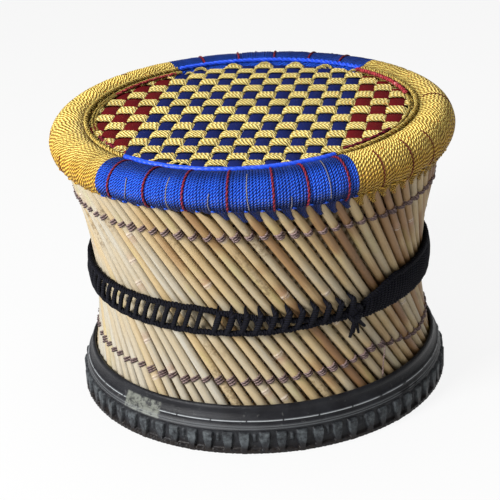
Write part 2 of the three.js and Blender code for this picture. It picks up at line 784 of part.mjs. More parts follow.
// The red lacing lies on the edge of the weave, inside the piping
function lacing(from, to) {
  const radius = pipingRadius - PIPING_RADIUS - CLEARANCE - LACING_RADIUS;
  const height = weaveHeight + WARP_THICKNESS / 2 + CLEARANCE + LACING_RADIUS;
  return seatCord(radians(from), radians(to), radius, height, LACING_RADIUS);
}

const rimSections = [
  { name: "front_blue", from: -blueHalfSpan, to: blueHalfSpan, look: "blueRope" },
  { name: "right_gold", from: blueHalfSpan, to: PI - blueHalfSpan, look: "goldRope" },
  { name: "rear_blue", from: PI - blueHalfSpan, to: PI + blueHalfSpan, look: "blueRope" },
  { name: "left_gold", from: PI + blueHalfSpan, to: FULL_TURN - blueHalfSpan, look: "goldRope" },
];

function addTracers(prefix, places) {
  places.forEach((place, index) => addPart(`${prefix}_${index + 1}`, settled(tracer(radians(place))), "redCord"));
}

addPart("tyre_base", tyreBase(), "tyre");
addPart("base_hoop", baseHoop(), "hoopWood");
canePanels("outer_canes", outerLayer, roundPanel, "outerCane");
canePanels("inner_canes", innerLayer, splitPanel, "innerCane");
addPart("upper_twine", twineRow(upperTwineHeight), "twine");
addPart("lower_twine", twineRow(lowerTwineHeight), "twine");
addPart("waist_ladder", waistLadder(), "navyCord");
addPart("waist_strap", waistStrap(), "navyCord");
addPart("waist_knot", waistKnot(), "navyCord");
addPart("rim_core", settled(rimCore()), "straw");
for (const { name, from, to, look } of rimSections) {
  addPart(`rim_rope_${name}`, settled(winding(name, from, to)), look);
}
addTracers("front_tracer", FRONT_TRACER_DEGREES);
addTracers("rear_tracer", REAR_TRACER_DEGREES);
addPart("seat_hoop", seatHoop(), "hoopWood");
addPart("seat_weft_gold", weft(), "weftGold");
addPart("seat_warp_blue", warp(-halfBlueColumns, halfBlueColumns), "warpBlue");
addPart("seat_warp_red_left", warp(-halfColumns, -halfBlueColumns), "warpRed");
addPart("seat_warp_red_right", warp(halfBlueColumns, halfColumns), "warpRed");

for (const { name, from, to, look } of rimSections) {
  addPart(`seat_piping_${name}`, settled(piping(from, to)), look);
}
addPart("lacing_rear_right", lacing(...REAR_RIGHT_LACING_DEGREES), "redCord");
addPart("lacing_front_left", lacing(...FRONT_LEFT_LACING_DEGREES), "redCord");
addPart("lacing_front_right", lacing(...FRONT_RIGHT_LACING_DEGREES), "redCord");

export default stool;
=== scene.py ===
"""A mudda stool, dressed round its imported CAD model.

Metres, +Z up, the front blue stretch of the rim at -Y. A plan angle counts from the front towards +X,
and a place counts round the rim's section from its outer side over the top.
"""

import math

import bpy
import numpy as np
from mathutils import Matrix, Vector


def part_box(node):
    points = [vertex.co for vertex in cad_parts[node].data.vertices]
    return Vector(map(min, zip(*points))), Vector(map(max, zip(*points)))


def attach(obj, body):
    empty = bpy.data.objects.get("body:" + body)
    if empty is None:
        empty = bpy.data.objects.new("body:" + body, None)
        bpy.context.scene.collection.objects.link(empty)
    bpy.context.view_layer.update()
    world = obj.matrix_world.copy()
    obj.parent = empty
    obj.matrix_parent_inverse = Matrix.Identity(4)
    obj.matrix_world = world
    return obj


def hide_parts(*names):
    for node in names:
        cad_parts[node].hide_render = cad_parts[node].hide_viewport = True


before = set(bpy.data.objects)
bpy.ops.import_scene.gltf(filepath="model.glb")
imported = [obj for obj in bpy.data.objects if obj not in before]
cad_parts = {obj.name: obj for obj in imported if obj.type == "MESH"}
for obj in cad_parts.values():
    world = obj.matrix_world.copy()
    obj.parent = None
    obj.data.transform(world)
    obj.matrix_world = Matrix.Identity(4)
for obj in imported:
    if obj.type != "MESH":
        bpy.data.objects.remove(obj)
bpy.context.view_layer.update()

FULL_TURN = 2 * math.pi
UPWARD = np.array((0, 0, 1))
random = np.random.default_rng(11)

# Sides and segments of round parts, edges kept sharp past so many degrees, and the tints of plain parts
ROPE_SIDES = 8
STITCH_SIDES = 6
CORE_SEGMENTS = (180, 32)
SEAT_HOOP_SEGMENTS = (160, 14)
BASE_HOOP_SEGMENTS = 240
CANE_CREASE = 45
TAPE_CREASE = 60
TYRE_CREASE = 50
CORD_TONE = (0.4, 0, 0)
KNOT_TONE = (0.5, 0, 0)
PALE_TONE = (1, 0, 0)

# Camera, measured in the photograph's frame and turned with the stool
STOOL_TURN = math.radians(9.5)
CAMERA_PLACE = (0.0, -1.4142, 0.7400)
CAMERA_AHEAD = (-0.0057, 0.9185, -0.3953)
CAMERA_UP = (0.0541, 0.3950, 0.9171)
CAMERA_LENS = 106.34
SENSOR_WIDTH = 36.0

# Rim
RIM_RADIUS = 0.1815
RIM_HEIGHT = 0.2695
RIM_HALF_WIDTH = 0.0215
RIM_HALF_HEIGHT = 0.0225
BLUE_HALF_SPAN = math.radians(37)
STRETCHES = (
    ("front_blue", "blue_rope", -BLUE_HALF_SPAN, BLUE_HALF_SPAN),
    ("right_gold", "gold_rope", BLUE_HALF_SPAN, math.pi - BLUE_HALF_SPAN),
    ("rear_blue", "blue_rope", math.pi - BLUE_HALF_SPAN, math.pi + BLUE_HALF_SPAN),
    ("left_gold", "gold_rope", math.pi + BLUE_HALF_SPAN, FULL_TURN - BLUE_HALF_SPAN),
)
PIPING_LOOKS = {"blue_rope": "blue_piping", "gold_rope": "gold_rope"}
CREST_DROP = 0.0074
CREST_DROP_ANGLE = math.radians(-15.5)
CREST_DROP_FOCUS = 3
CORE_DEPTH = 0.0042
CORE_FLATNESS = 0.95
ROPE_PITCHES = {"blue_rope": 0.0027, "gold_rope": 0.0031}
ROPE_OVERLAP_SHARE = 1.2
TURN_STEPS = 44
TURN_JITTER = 0.00022
TURN_LIFT = 0.00012

# How the rope dips between the cane tips
DIP_PLACE = math.radians(-66)
DIP_SPREAD = math.radians(28)
DIP_DEPTHS = (0.0018, 0.0082)
DIP_VARIES = (0.65, 1.2)
DIP_GROWTH = (math.radians(-8), math.radians(6))
DIP_HALF_SHARE = 0.36
DIP_LEAN_SHARE = 0.64
DIP_TUCK_SHARE = 0.30
DIP_SHARE = 0.3
TIP_DENT = 0.0064

# Painted shade round the rim's section, as places in degrees with a share of the full shade: the rope
# darker underneath and, on the blue, across its top; negative shares paint a highlight on the gold's top
FULL_SHADE = 0.80
SECTION_SHADES = {
    "blue_rope": ((-26, 1.0), (0, 0.0), (48, 0.0), (72, 0.70), (112, 0.70), (135, 0.0)),
    "gold_rope": ((-26, 0.45), (0, 0.05), (40, -0.12), (65, -0.35), (105, -0.35), (125, 0.30), (180, 0.30)),
}

# Fans of rope that hang between two canes, and small stitches above the cane tips
FAN_STRANDS = 9
FAN_HALF_WIDTH = 0.0058
FAN_PLACES = (math.radians(-40), math.radians(-64))
FAN_RADIUS = 0.00130
FAN_SHIFT = 0.0006
FAN_SINK = 0.0010
FAN_SEAT_SHARE = 0.6
FAN_CLOSE_SHARE = 0.7
LEAST_FAN = 0.0030
STITCH_PLACE = math.radians(-44)
STITCH_WAVES = (0.10, 0.06)
STITCH_DEPTHS = (0.0003, 0.0012)
STITCH_RADIUS = 0.0011
STITCH_SPREAD = 0.0013
SHORT_STEPS = 12

# Tracer cords over the rim, and thin threads: a plan angle in degrees with the places of both ends
TRACER_RADIUS = 0.00115
TRACER_PLACES = (-54, 128)
TRACER_STEPS = 60
FRONT_TRACERS = (-32.6, -20.2, -9.5, 2.1, 14.2, 22.9, 34.2)
REAR_TRACERS = (154, 167, 180, 193, 206)
PINCH_DEPTH = 0.0008
PINCH_WIDTH = math.radians(1.3)
THREAD_RADIUS = 0.0005
THREAD_DRIFTS = (0.0016, 0.001)
THREAD_SEAT_SHARE = 0.35
GREY_THREADS = {
    -26.4: (-20, 40), -13.6: (-45, 60), -2.1: (-50, 20), 7.7: (-35, 75), 18.4: (-55, 0),
    29.0: (-25, 95), 160.5: (-40, 70), 186.5: (-20, 80), 199.0: (-50, 40),
}
RED_THREADS = {
    45: (-58, 78), 56: (-58, 82), 66: (-50, 70), 99: (-10, 118), 128: (-50, 60),
    236: (-50, 90), 262: (-45, 60), 284: (-55, 30), 303: (-50, 20),
}

# Canes
WAIST_HEIGHT = 0.118
CANE_FOOT = 0.018
CANE_TOP = 0.24665
OUTER_CANES = 84
OUTER_RADIUS = 0.16435
OUTER_SLOPE = -0.6650
INNER_CANES = 96
INNER_RADIUS = 0.15420
INNER_SLOPE = 0.6440
PANELS = 12
CANE_RADII = (0.0040, 0.0046)
INNER_CANE_RADII = (0.0039, 0.0043)
CANE_SIDES = 18
CANE_STEP = 0.006
CANE_SWAY = math.radians(0.26)
CANE_BOW = 0.0006
CANE_TAPER_SHARE = 0.04
CANE_WANDER_SHARE = 0.015
CANE_WANDER_RATES = (60, 120)
TINT_ODDS = (1.8, 6.0)
TINT_SHARE = 0.65
# Canes further right get browner tints, partly their own colour and partly painted shade
RIGHT_TINT_AND_SHADE = 0.40
BROWN_SHARE = 0.24
BROWN_TINTS = (0.6, 1.0)
TIP_RISES = (0.0020, 0.0052)
TIP_SLANTS = (0.35, 0.85)
TIP_LEANS = (-0.1, 0.25)
TIP_CLEAR = 0.010
TIP_WITHOUT_JOINTS = 0.012
FIRST_JOINTS = (0.01, 0.28)
JOINT_SPACINGS = (0.15, 0.32)
JOINT_SWELL = 0.10
JOINT_WIDTH = 0.0012
JOINT_OFFSETS = (-8, -5, -2.5, -1, -0.4, 0, 0.4, 1, 2.5, 5, 8)
PATCH_WIDTH = 0.0036
PATCH_SHARES = (0.1, 1.0)

# Twine rows
UPPER_TWINE = 0.2211
LOWER_TWINE = 0.0670
TWINE_RADIUS = 0.00118
TWINE_SIDES = 7
TWINE_STEPS = 44
TWINE_SIDE_SHARE = 0.70
TWINE_SEAT_SHARE = 0.85
TWINE_SLANT_SHARE = 0.25
TWINE_PITCH = 0.0023
TWINE_PITCH_VARIES = (0.95, 1.15)
TWINE_THRICE_SHARE = 0.28
TWINE_SHORT_TURN = 0.15
TWINE_SWAYS = (0.0012, 0.0030)
TWINE_WAVES = ((3, 0.6), (11, 0.4))
TWINE_LIFTS = (0.0, 0.0105)
LIFT_ANGLE = math.radians(51)
LIFT_SPREAD = math.radians(16)
AXIS_REACH = 0.01

# The lower twine's loose end: canes back from its own, height, and distance before the canes
TAIL_CANE = 14
TAIL_RADIUS = 0.0006
TAIL_STEPS = 60
TAIL_PLACES = (
    (0.9, 0.0765, 0.0020), (1.4, 0.0705, 0.0026), (1.9, 0.0640, 0.0022),
    (2.4, 0.0570, 0.0020), (2.9, 0.0500, 0.0022), (3.1, 0.0450, 0.0005),
)

# Waist band: each rail's height while apart, its height once together, and where it starts to change
BAND_RADIUS = 0.1733
LADDER_START = math.radians(-76)
MERGE_START = math.radians(-10)
MERGE_END = math.radians(27)
UPPER_RAIL = (0.1450, 0.1272, MERGE_START)
LOWER_RAIL = (0.1210, 0.1238, math.radians(10))
RAIL_STRAND = 0.00150
RAIL_STRANDS = 3
RAIL_TWIST = 0.0120
RAIL_REACH_SHARE = 1.12
RAIL_STEP = math.radians(0.35)
RAIL_PROUD = 0.0002
RAIL_WOBBLE = 0.0004
RAIL_WAVES = 60
RUNG_TOP = 0.1458
RUNG_TOP_VARIES = 0.0004
RUNG_RADIUS = 0.0024
RUNG_VARIES = (0.92, 1.08)
RUNG_PITCH = math.radians(3.87)
RUNG_SLANT = math.radians(3.5)
RUNG_BULGE = 0.03
RUNG_PROUD = (0.0006, 0.0016)
RUNG_STEPS = 24
RUNG_SIDES = 9
HOOK_START = 0.68
HOOK_CURL = math.radians(1.9)
HOOK_TUCK = 0.0080
HOOK_SWELL_SHARE = 0.30
HOOK_TAPER_SHARE = 0.75
CROSSING_PLACES = (4, 9, 13, 17)
CROSSING_SLANT_SHARE = 0.55
CROSSING_RADIUS_SHARE = 0.8
STRAP_PITCH = math.radians(1.55)
STRAP_HEIGHT = 0.029
STRAP_BOTTOM = 0.1185
STRAP_TAPER = math.radians(14)
STRAP_TAPER_SHARE = 0.5
STRAP_SLANT_SHARE = 0.8
STRAP_RADIUS_SHARE = 0.95
BACKING_STEP = math.radians(1)
BACKING_SINK = 0.0006
BACKING_HALF_WIDTH = 0.0009

# Knot: loops half as wide and half as tall as this, and tails with a lean in degrees, a foot and a radius
KNOT_ANGLE = math.radians(40)
KNOT_HALF = math.radians(2.8)
KNOT_HEIGHT = 0.1259
KNOT_LOOPS = 7
KNOT_LOOP_STEPS = 40
KNOT_LOOP_HALVES = (0.0068, 0.0085)
KNOT_SHRINK = 0.0011
KNOT_TILTS = (0.3, 0.7)
KNOT_PROUD = 0.0016
KNOT_RIPPLE = 0.0013
KNOT_TAILS = ((-2.2, 0.1010, 0.0025), (-0.9, 0.1050, 0.0026), (1.2, 0.1030, 0.0020), (3.6, 0.1080, 0.0026))
KNOT_TAIL_STEPS = 14
KNOT_TAIL_DROP = 0.004
KNOT_TAIL_SINK = 0.0008
KNOT_TAIL_BEND = 1.2
KNOT_TAIL_TAPER_SHARE = 0.35

# Seat
SEAT_RADIUS = 0.1618
WEAVE_HEIGHT = 0.28235
COLUMN_PITCH = 0.017
ROW_REACH = 0.1938
ROW_TURN = 0.13
HALF_COLUMNS = 9
HALF_ROWS = 7
BLUE_COLUMNS = 6
WARP_WIDTHS = {"warp_blue": 0.0132, "warp_red": 0.0160}
WARP_THICKNESS = 0.0009
WARP_SECTION = (
    (-1, -0.4), (-0.93, -1), (0, -0.75), (0.93, -1), (1, -0.4), (0.93, 0.8), (0, 1.25), (-0.93, 0.8),
)
WARP_SWING = 0.0011
WARP_STEEPNESS = 2.0
WARP_STEP = 0.003
WARP_PAST = 0.0005
WARP_TILT = 0.0003
WARP_FALL = 0.006
WEFT_ROPES = 5
WEFT_ROPE_RADIUS = 0.0021
WEFT_FLATNESS = 0.66
WEFT_SIDES = 9
WEFT_SWING = 0.0012
WEFT_STEEPNESS = 2.2
WEFT_HALF_SHARES = (0.335, 0.353)
WEFT_CROWN = 0.0010
WEFT_STEP = 0.0018
WEFT_CLEAR = 0.003
WEFT_VARIES = 0.00015
WEFT_FALL = 0.007
FALL_DEPTH = 0.0025
ARC_COLUMNS = (-5, -3, -1, 1, 3, 5)
ARC_SPANS = (0.0056, 0.0072)
ARC_RISE_SHARE = 0.62
ARC_ROPE_SHARE = 0.5
ARC_INSET = 0.0030
ARC_BOW = 0.0022
ARC_SINK = 0.0010
ARC_CENTRE_SINK = 0.002
ARC_STEPS = 18
LEAST_ARC_TINT = 0.3

# Rings along the seat's edge as radius and height, and cords as a strand's radius, the length of a
# turn, the number of strands and the waviness
CORD_GAP = 0.0006
CORD_STEP = math.radians(0.45)
CORD_WAVES = (90, 130)
CORD_SIDES = 7
PIPING_RADIUS = 0.0025
EDGING_RADIUS = 0.0017
PAIR_SHARE = 1.95
PIPING_RING = (0.1649, 0.2880)
EDGING_RING = (0.1586, 0.2862)
LACING_RING = (EDGING_RING[0] - 0.0006, EDGING_RING[1] + 0.0018)
STITCHED_EDGE_RING = (0.1548, 0.2866)
PIPING_CORD = (PIPING_RADIUS / PAIR_SHARE, 0.011, 2, 0.0003)
EDGING_CORD = (EDGING_RADIUS / PAIR_SHARE, 0.008, 2, 0.0002)
BEADED_CORD = (0.00120, 0.0085, 3, 0.0005)
PLAIN_CORD = (0.00105, 0.0150, 3, 0.0005)
STITCHED_EDGE_CORD = (0.0009, 0.0060, 2, 0.0005)
STITCHED_EDGE_SPAN = (220, 254)
EDGING_STEPS_IN = {"right_gold": (0.0,), "left_gold": (0.0, 0.0034)}
LACINGS = {
    "rear_right": (105, 143, "lacing_cord", BEADED_CORD),
    "front_left": (-59, -38, "red_cord", PLAIN_CORD),
    "front_right": (42, 65, "red_cord", PLAIN_CORD),
}
SMOOTH_CORD_STEP = math.radians(0.6)
SMOOTH_CORD_SIDES = 12
SMOOTH_CORD_WAVE = 0.0003
SMOOTH_CORD_WAVES = 37

# Tyre: its section as radius and height, from the foot of the inner side, out, up and over the lip
TYRE_WALL = 0.1879
TYRE_INSIDE = 0.1829
TREAD_TOP = 0.0233
TYRE_SECTION = [
    (TYRE_INSIDE, 0.0), (TYRE_WALL - 0.001, 0.0), (TYRE_WALL, 0.0006),
    *((TYRE_WALL, height) for height in np.arange(0.0016, 0.0232, 0.0010)),
    (0.1882, 0.0236), (0.1881, 0.0243), (0.1876, 0.0250), (0.1880, 0.0256), (0.1878, 0.0262),
    (0.1870, 0.0268), (0.1873, 0.0275), (0.1870, 0.0282), (0.1861, 0.0292), (0.1856, 0.0306),
    (0.1853, 0.0318), (0.1857, 0.0324), (0.1860, 0.0330), (0.1856, 0.0336), (0.1846, 0.0341),
    (0.1836, 0.0354), (0.1826, 0.0372), (0.1819, 0.0388), (0.1813, 0.0402), (0.1812, 0.0415),
    (0.1814, 0.0430), (0.1811, 0.0446), (0.1803, 0.0458), (0.1793, 0.0464), (0.1780, 0.0465),
    (0.1772, 0.0458), (0.1770, 0.0440), (0.1774, 0.0400), (0.1790, 0.0330), (0.1812, 0.0260),
    (TYRE_INSIDE, 0.0215),
]
INNER_POINTS = 6

# Tread: a limit is a distance or height with the softness of its edge
LUG_PAIRS = 33
LUG_DEPTH = 0.0038
LUG_STEPS = 46
LUG_EDGE = 0.0011
LUG_TAPER = 0.0021
LUG_TAPER_HEIGHTS = (0.020, 0.014)
LUG_WEAR_SHARE = 0.14
LUG_WEAR_RATES = (2.3, 7)
LUG_TOP = (0.0224, 0.0013)
LUG_BAND = (0.0050, 0.0010)
LUG_BAND_SHARE = 0.84
RAGGED_WAVES = ((0.06, 211, 0), (0.05, 347, 2600))
NARROW_GROOVE = 0.0050
WIDE_GROOVE = 0.0086
STUB_SHARE = 0.45
STUB_HEIGHT = 0.0165
STUB_HALF_WIDTH = (0.0021, 0.0010)
STUB_HALF_HEIGHT = (0.0045, 0.0012)
BLOOM_TOP = (0.0236, 0.001)
BLOOM_FOOT = (0.0045, 0.010)
BLOOM_SHARE = 0.85

# Rubbed lines and the dried patch on the tyre's sidewall
RUBBED_HEIGHT = 0.0330
RUBBED_WIDTH = 0.00045
FAINT_HEIGHTS = (0.0256, 0.0276)
FAINT_WIDTH = 0.0006
FAINT_SHARE = 0.22
DASH_PHASE = 0.3
DASH_PITCH = 0.0365
DASH_GAP = (0.0011, 0.0005)
DRIED_ANGLE = math.radians(-32)
DRIED_HEIGHT = 0.0320
DRIED_HALF_SPAN = (math.radians(7.5), math.radians(0.8))
DRIED_HALF_HEIGHT = (0.0080, 0.0014)

# Base hoop
HOOP_WIDTH = 0.022
HOOP_EDGE = 0.0015

# Floor and lights: a lamp's place, size and power
FLOOR_SIZE = 12.0
FLOOR_DROP = 0.0002
FLOOR_COLOUR = (0.78, 0.78, 0.78)
GLOW_START = 0.186
GLOW_WIDTH = 0.004
GLOW_STRENGTH = 0.985
GLOW_SHARE = 0.90
WORLD_LIGHT = 0.18
LAMP_TARGET = (0, 0, 0.15)
LAMPS = {
    "key_light": ((-1.6, -1.3, 1.35), 0.8, 84),
    "fill_light": ((1.5, -1.6, 1.1), 1.2, 3),
    "top_light": ((0.1, 0.2, 2.2), 1.0, 11),
}

# Looks of rope: dark, light and fleck colours, the length of a turn, the depth of the relief, how dark the
# touching turns are as "valley", and how strongly strands show against fibres as "twist"
# The dark and light colours also paint shade in the grooves between strands and a highlight on their crests,
# and valley is painted shade
ROPE_LOOKS = {
    "blue_rope": dict(
        colours=((0.002, 0.010, 0.26), (0.030, 0.175, 1.0), (0.12, 0.34, 1.0)),
        lay=0.0084, depth=0.0016, roughness=0.42, flecks=-0.05, valley=0.36, twist=0.85,
    ),
    "blue_piping": dict(
        colours=((0.006, 0.032, 0.36), (0.018, 0.090, 0.80), (0.08, 0.25, 0.90)),
        lay=0.0120, depth=0.0003, roughness=0.40, flecks=-0.08, strands=2, valley=0.1, twist=0.3, gloss=0.35,
    ),
    "gold_rope": dict(
        colours=((0.29, 0.135, 0.010), (1.0, 0.80, 0.225), (0.72, 0.25, 0.030)),
        lay=0.0108, depth=0.0020, roughness=0.45, flecks=0.035, valley=0.36, twist=0.85, warm_shade_height=0.274,
    ),
    "weft_rope": dict(
        colours=((0.52, 0.33, 0.045), (1.0, 0.88, 0.36), (0.80, 0.39, 0.08)),
        lay=0.0112, depth=0.0018, roughness=0.5, flecks=0.055, valley=0.30, twist=0.85,
    ),
    "red_cord": dict(
        colours=((0.05, 0.002, 0.008), (0.26, 0.018, 0.040), (0.42, 0.10, 0.12)),
        lay=0.0100, depth=0.0006, roughness=0.55, flecks=-0.06, strands=2, valley=0.5, gloss=0.2,
    ),
    "lacing_cord": dict(
        colours=((0.16, 0.006, 0.012), (0.62, 0.070, 0.085), (0.88, 0.45, 0.42)),
        lay=0.0060, depth=0.0008, roughness=0.6, flecks=0.05, strands=2, valley=0.5, gloss=0.2,
    ),
    "dark_red_thread": dict(
        colours=((0.05, 0.002, 0.004), (0.20, 0.012, 0.015), (0.28, 0.04, 0.04)),
        lay=0.0050, depth=0.0003, roughness=0.6, flecks=-0.10, strands=2, valley=0.4, gloss=0.2,
    ),
    "grey_thread": dict(
        colours=((0.06, 0.06, 0.09), (0.30, 0.27, 0.27), (0.36, 0.30, 0.16)),
        lay=0.0050, depth=0.0003, roughness=0.6, flecks=0.0, strands=2, valley=0.4, gloss=0.2,
    ),
    "jute_twine": dict(
        colours=((0.045, 0.026, 0.025), (0.30, 0.205, 0.195), (0.52, 0.42, 0.39)),
        lay=0.0060, depth=0.0005, roughness=0.6, flecks=-0.03, strands=2, valley=0.7, twist=0.5,
    ),
    "navy_cord": dict(
        colours=((0.0010, 0.0010, 0.0022), (0.0050, 0.0052, 0.012), (0.010, 0.014, 0.028)),
        lay=0.0070, depth=0.0008, roughness=0.7, flecks=-0.06, valley=0.3, gloss=0.15,
    ),
}

# Painted shade: a warmer, darker tint of the gold rope low down
WARM_SHADE_TINT = (1.0, 0.78, 0.36)
WARM_WIDTH = 0.020
WARM_DRIFT = 0.014

# Cane colours: the rind from its palest to its brownest, and what is laid over it
# The palest stops, mostly on the left-hand canes, also paint light falling from the left, and the brown ones,
# mostly on the right, also paint shade
OUTER_RIND = {
    0.0: (0.43, 0.41, 0.35), 0.14: (0.41, 0.350, 0.245), 0.32: (0.44, 0.345, 0.205),
    0.52: (0.46, 0.340, 0.175), 0.78: (0.31, 0.180, 0.078), 1.0: (0.22, 0.115, 0.050),
}
# The inner rind is paler than its own colour, painted light that makes the inner canes show lit through the
# shaded gaps
INNER_RIND = {0.0: (0.58, 0.46, 0.29), 0.5: (0.46, 0.34, 0.19), 1.0: (0.26, 0.16, 0.08)}
GREEN_STRETCH = (0.40, 0.37, 0.11)
BROWN_STREAK = (0.20, 0.12, 0.06)
STAIN = (0.13, 0.08, 0.035)
FRECKLE = (0.10, 0.05, 0.03)
JOINT_PATCH = (0.33, 0.18, 0.125)
JOINT_RING = (0.58, 0.50, 0.42)
JOINT_SCAR = (0.13, 0.065, 0.04)
CANE_RELIEF = 0.00028

# Tyre colours, and the heights between which the dirt fades in
RUBBER = ((0.006, 0.006, 0.008), (0.020, 0.021, 0.025))
GREY_BLOOM = (0.098, 0.112, 0.120)
SCUFF = (0.2, 0.2, 0.19)
DRIED_PATCH = (0.20, 0.21, 0.18)
RUBBED_LINE = (0.50, 0.53, 0.55)
DIRT = (0.014, 0.010, 0.008)
DIRT_HEIGHTS = (0.011, 0.002)
TYRE_RELIEF = 0.0004

# Tape, straw and bamboo
NAVY_TAPE = ((0.003, 0.008, 0.065), (0.008, 0.018, 0.150))
DARK_RED_TAPE = ((0.085, 0.002, 0.004), (0.175, 0.005, 0.009))
TAPE_RIB = 0.0011
TAPE_PICK = 0.0016
TAPE_RELIEF = 0.0003
STRAW = {0.3: (0.16, 0.10, 0.04), 0.7: (0.50, 0.37, 0.18)}
STRAW_RELIEF = 0.001
BAMBOO = {0.3: (0.22, 0.12, 0.05), 0.7: (0.50, 0.34, 0.15)}
BAMBOO_RELIEF = 0.0004


def unit(vectors):
    return vectors / np.linalg.norm(vectors, axis=-1, keepdims=True)


def around(angle, radius, height):
    """Points at plan angles, radii and heights."""
    angle, radius, height = np.broadcast_arrays(angle, radius, height)
    return np.stack([radius * np.sin(angle), -radius * np.cos(angle), height], axis=-1)


def outward(angle):
    return around(angle, 1, 0)


def sideways(angle, length=1):
    return around(angle + math.pi / 2, length, 0)


def signed(angle):
    """The same angle, counted from half a turn back to half a turn on."""
    return np.mod(angle + math.pi, FULL_TURN) - math.pi


def smooth_step(values):
    share = np.clip(values, 0, 1)
    return share * share * (3 - 2 * share)


def inside(value, limit, softness):
    """1 well below a limit and 0 above it."""
    return smooth_step((limit - value) / softness)


def hill(distance, width):
    """1 at no distance, and close to 0 past two widths."""
    return np.exp(-((distance / width) ** 2))


def mix(ends, share):
    """The value at a share of the way between two ends."""
    return ends[0] + (ends[1] - ends[0]) * share


def any_tint(least=0):
    return (random.uniform(least, 1), 0, 0)


# Meshes. A part is its points, its faces and two values for each point: "strand" holds the cosine and sine of
# the turn round the part's own axis and the length along it, and "tone" holds a random tint, the nearness of
# a joint or mark (on the rim's rope, its painted shade), and a second mark.
def tube(path, radius, sides, guide, closed=False, tone=(0, 0, 0), cut=None, flat=1.0):
    """A round part along a path, whose section starts at the guide direction."""
    path = np.asarray(path, float)
    count = len(path)
    ahead = np.roll(path, -1, 0) - np.roll(path, 1, 0) if closed else np.gradient(path, axis=0)
    tangent, first, second = section_axes(path, ahead, guide)
    turn = FULL_TURN * np.arange(sides) / sides
    reach = np.broadcast_to(radius, count)[:, None, None]
    ring = reach * (
        np.cos(turn)[None, :, None] * first[:, None, :] * flat
        + np.sin(turn)[None, :, None] * second[:, None, :]
    )
    if cut is not None:
        lean = ring[-1] @ cut / (tangent[-1] @ cut)
        ring[-1] -= lean[:, None] * tangent[-1]
    points = (path[:, None, :] + ring).reshape(-1, 3)
    strand = np.empty((count, sides, 3))
    strand[:, :, 0] = np.cos(turn)
    strand[:, :, 1] = np.sin(turn)
    strand[:, :, 2] = lengths_along(path)[:, None]
    tones = np.broadcast_to(np.asarray(tone, float), (count, 3))
    return points, grid_faces(count, sides, closed), strand.reshape(-1, 3), np.repeat(tones, sides, axis=0)


def section_axes(path, ahead, guide):
    """A path's directions, and two directions across it of which the first keeps near the guide."""
    tangent = unit(ahead)
    guide = np.broadcast_to(guide, path.shape)
    first = unit(guide - np.sum(guide * tangent, axis=1, keepdims=True) * tangent)
    return tangent, first, np.cross(tangent, first)


def lengths_along(path):
    steps = np.linalg.norm(np.diff(path, axis=0), axis=1)
    return np.concatenate([[0.0], np.cumsum(steps)])


def grid_faces(count, sides, closed):
    """Four-sided faces between rings of points, each ring closed on itself, with end faces unless closed."""
    row = np.arange(count if closed else count - 1)[:, None]
    column = np.arange(sides)[None, :]
    across = (column + 1) % sides
    ahead = (row + 1) % count
    corners = [row * sides + column, row * sides + across, ahead * sides + across, ahead * sides + column]
    faces = list(map(tuple, np.stack(corners, axis=-1).reshape(-1, 4).tolist()))
    if not closed:
        last = (count - 1) * sides
        faces.append(tuple(range(sides - 1, -1, -1)))
        faces.append(tuple(range(last, last + sides)))
    return faces


def bar(edges, faces):
    """A part between its long edges, with no values of its own."""
    points = np.stack(edges, axis=1).reshape(-1, 3)
    return points, faces, np.zeros_like(points), np.zeros_like(points)


def twisted(path, guide, strand_radius, lay, strands, tone, reach_share=0.95):
    """A cord of several strands laid round each other along a path."""
    along = lengths_along(path)
    _, first, second = section_axes(path, np.gradient(path, axis=0), guide)
    parts = []
    for strand in range(strands):
        turn = FULL_TURN * (along / lay + strand / strands)
        reach = strand_radius * reach_share
        line = path + reach * (np.cos(turn)[:, None] * first + np.sin(turn)[:, None] * second)
        parts.append(tube(line, strand_radius, CORD_SIDES, guide, tone=tone))
    return parts


def level_ring(radius, height, thickness, segments, sides, flat=1.0):
    angles = np.linspace(0, FULL_TURN, segments, endpoint=False)
    return tube(around(angles, radius, height), thickness, sides, outward(angles), closed=True, flat=flat)


def new_object(name, data):
    made = bpy.data.objects.new(name, data)
    bpy.context.scene.collection.objects.link(made)
    return made


def piece(name, parts, look, crease=None):
    """One object of several parts, riding on the stool, with edges sharp past a crease in degrees."""
    all_points, all_faces, all_strands, all_tones = [], [], [], []
    start = 0
    for points, faces, strand, tone in parts:
        all_points.append(points)
        all_strands.append(strand)
        all_tones.append(tone)
        all_faces.extend(tuple(corner + start for corner in face) for face in faces)
        start += len(points)
    mesh = bpy.data.meshes.new(name)
    mesh.from_pydata(np.concatenate(all_points).tolist(), [], all_faces)
    for title, values in (("strand", all_strands), ("tone", all_tones)):
        attribute = mesh.attributes.new(title, "FLOAT_VECTOR", "POINT")
        attribute.data.foreach_set("vector", np.concatenate(values).astype(np.float32).ravel())
    mesh.polygons.foreach_set("use_smooth", [True] * len(mesh.polygons))
    if crease is not None:
        mesh.set_sharp_from_angle(angle=math.radians(crease))
    mesh.materials.append(look)
    made = new_object(name, mesh)
    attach(made, "root")
    return made


def dress(node, parts, look, crease=None):
    """A piece that stands for one CAD node."""
    made = piece(f"dressed_{node}", parts, look, crease)
    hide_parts(node)


# Looks
class Value:
    """What one output of a node gives, so that formulas read as arithmetic."""

    def __init__(self, nodes, socket):
        self.nodes = nodes
        self.socket = socket

    def __add__(self, other):
        return self.nodes.math("ADD", self, other)

    def __sub__(self, other):
        return self.nodes.math("SUBTRACT", self, other)

    def __mul__(self, other):
        return self.nodes.math("MULTIPLY", self, other)


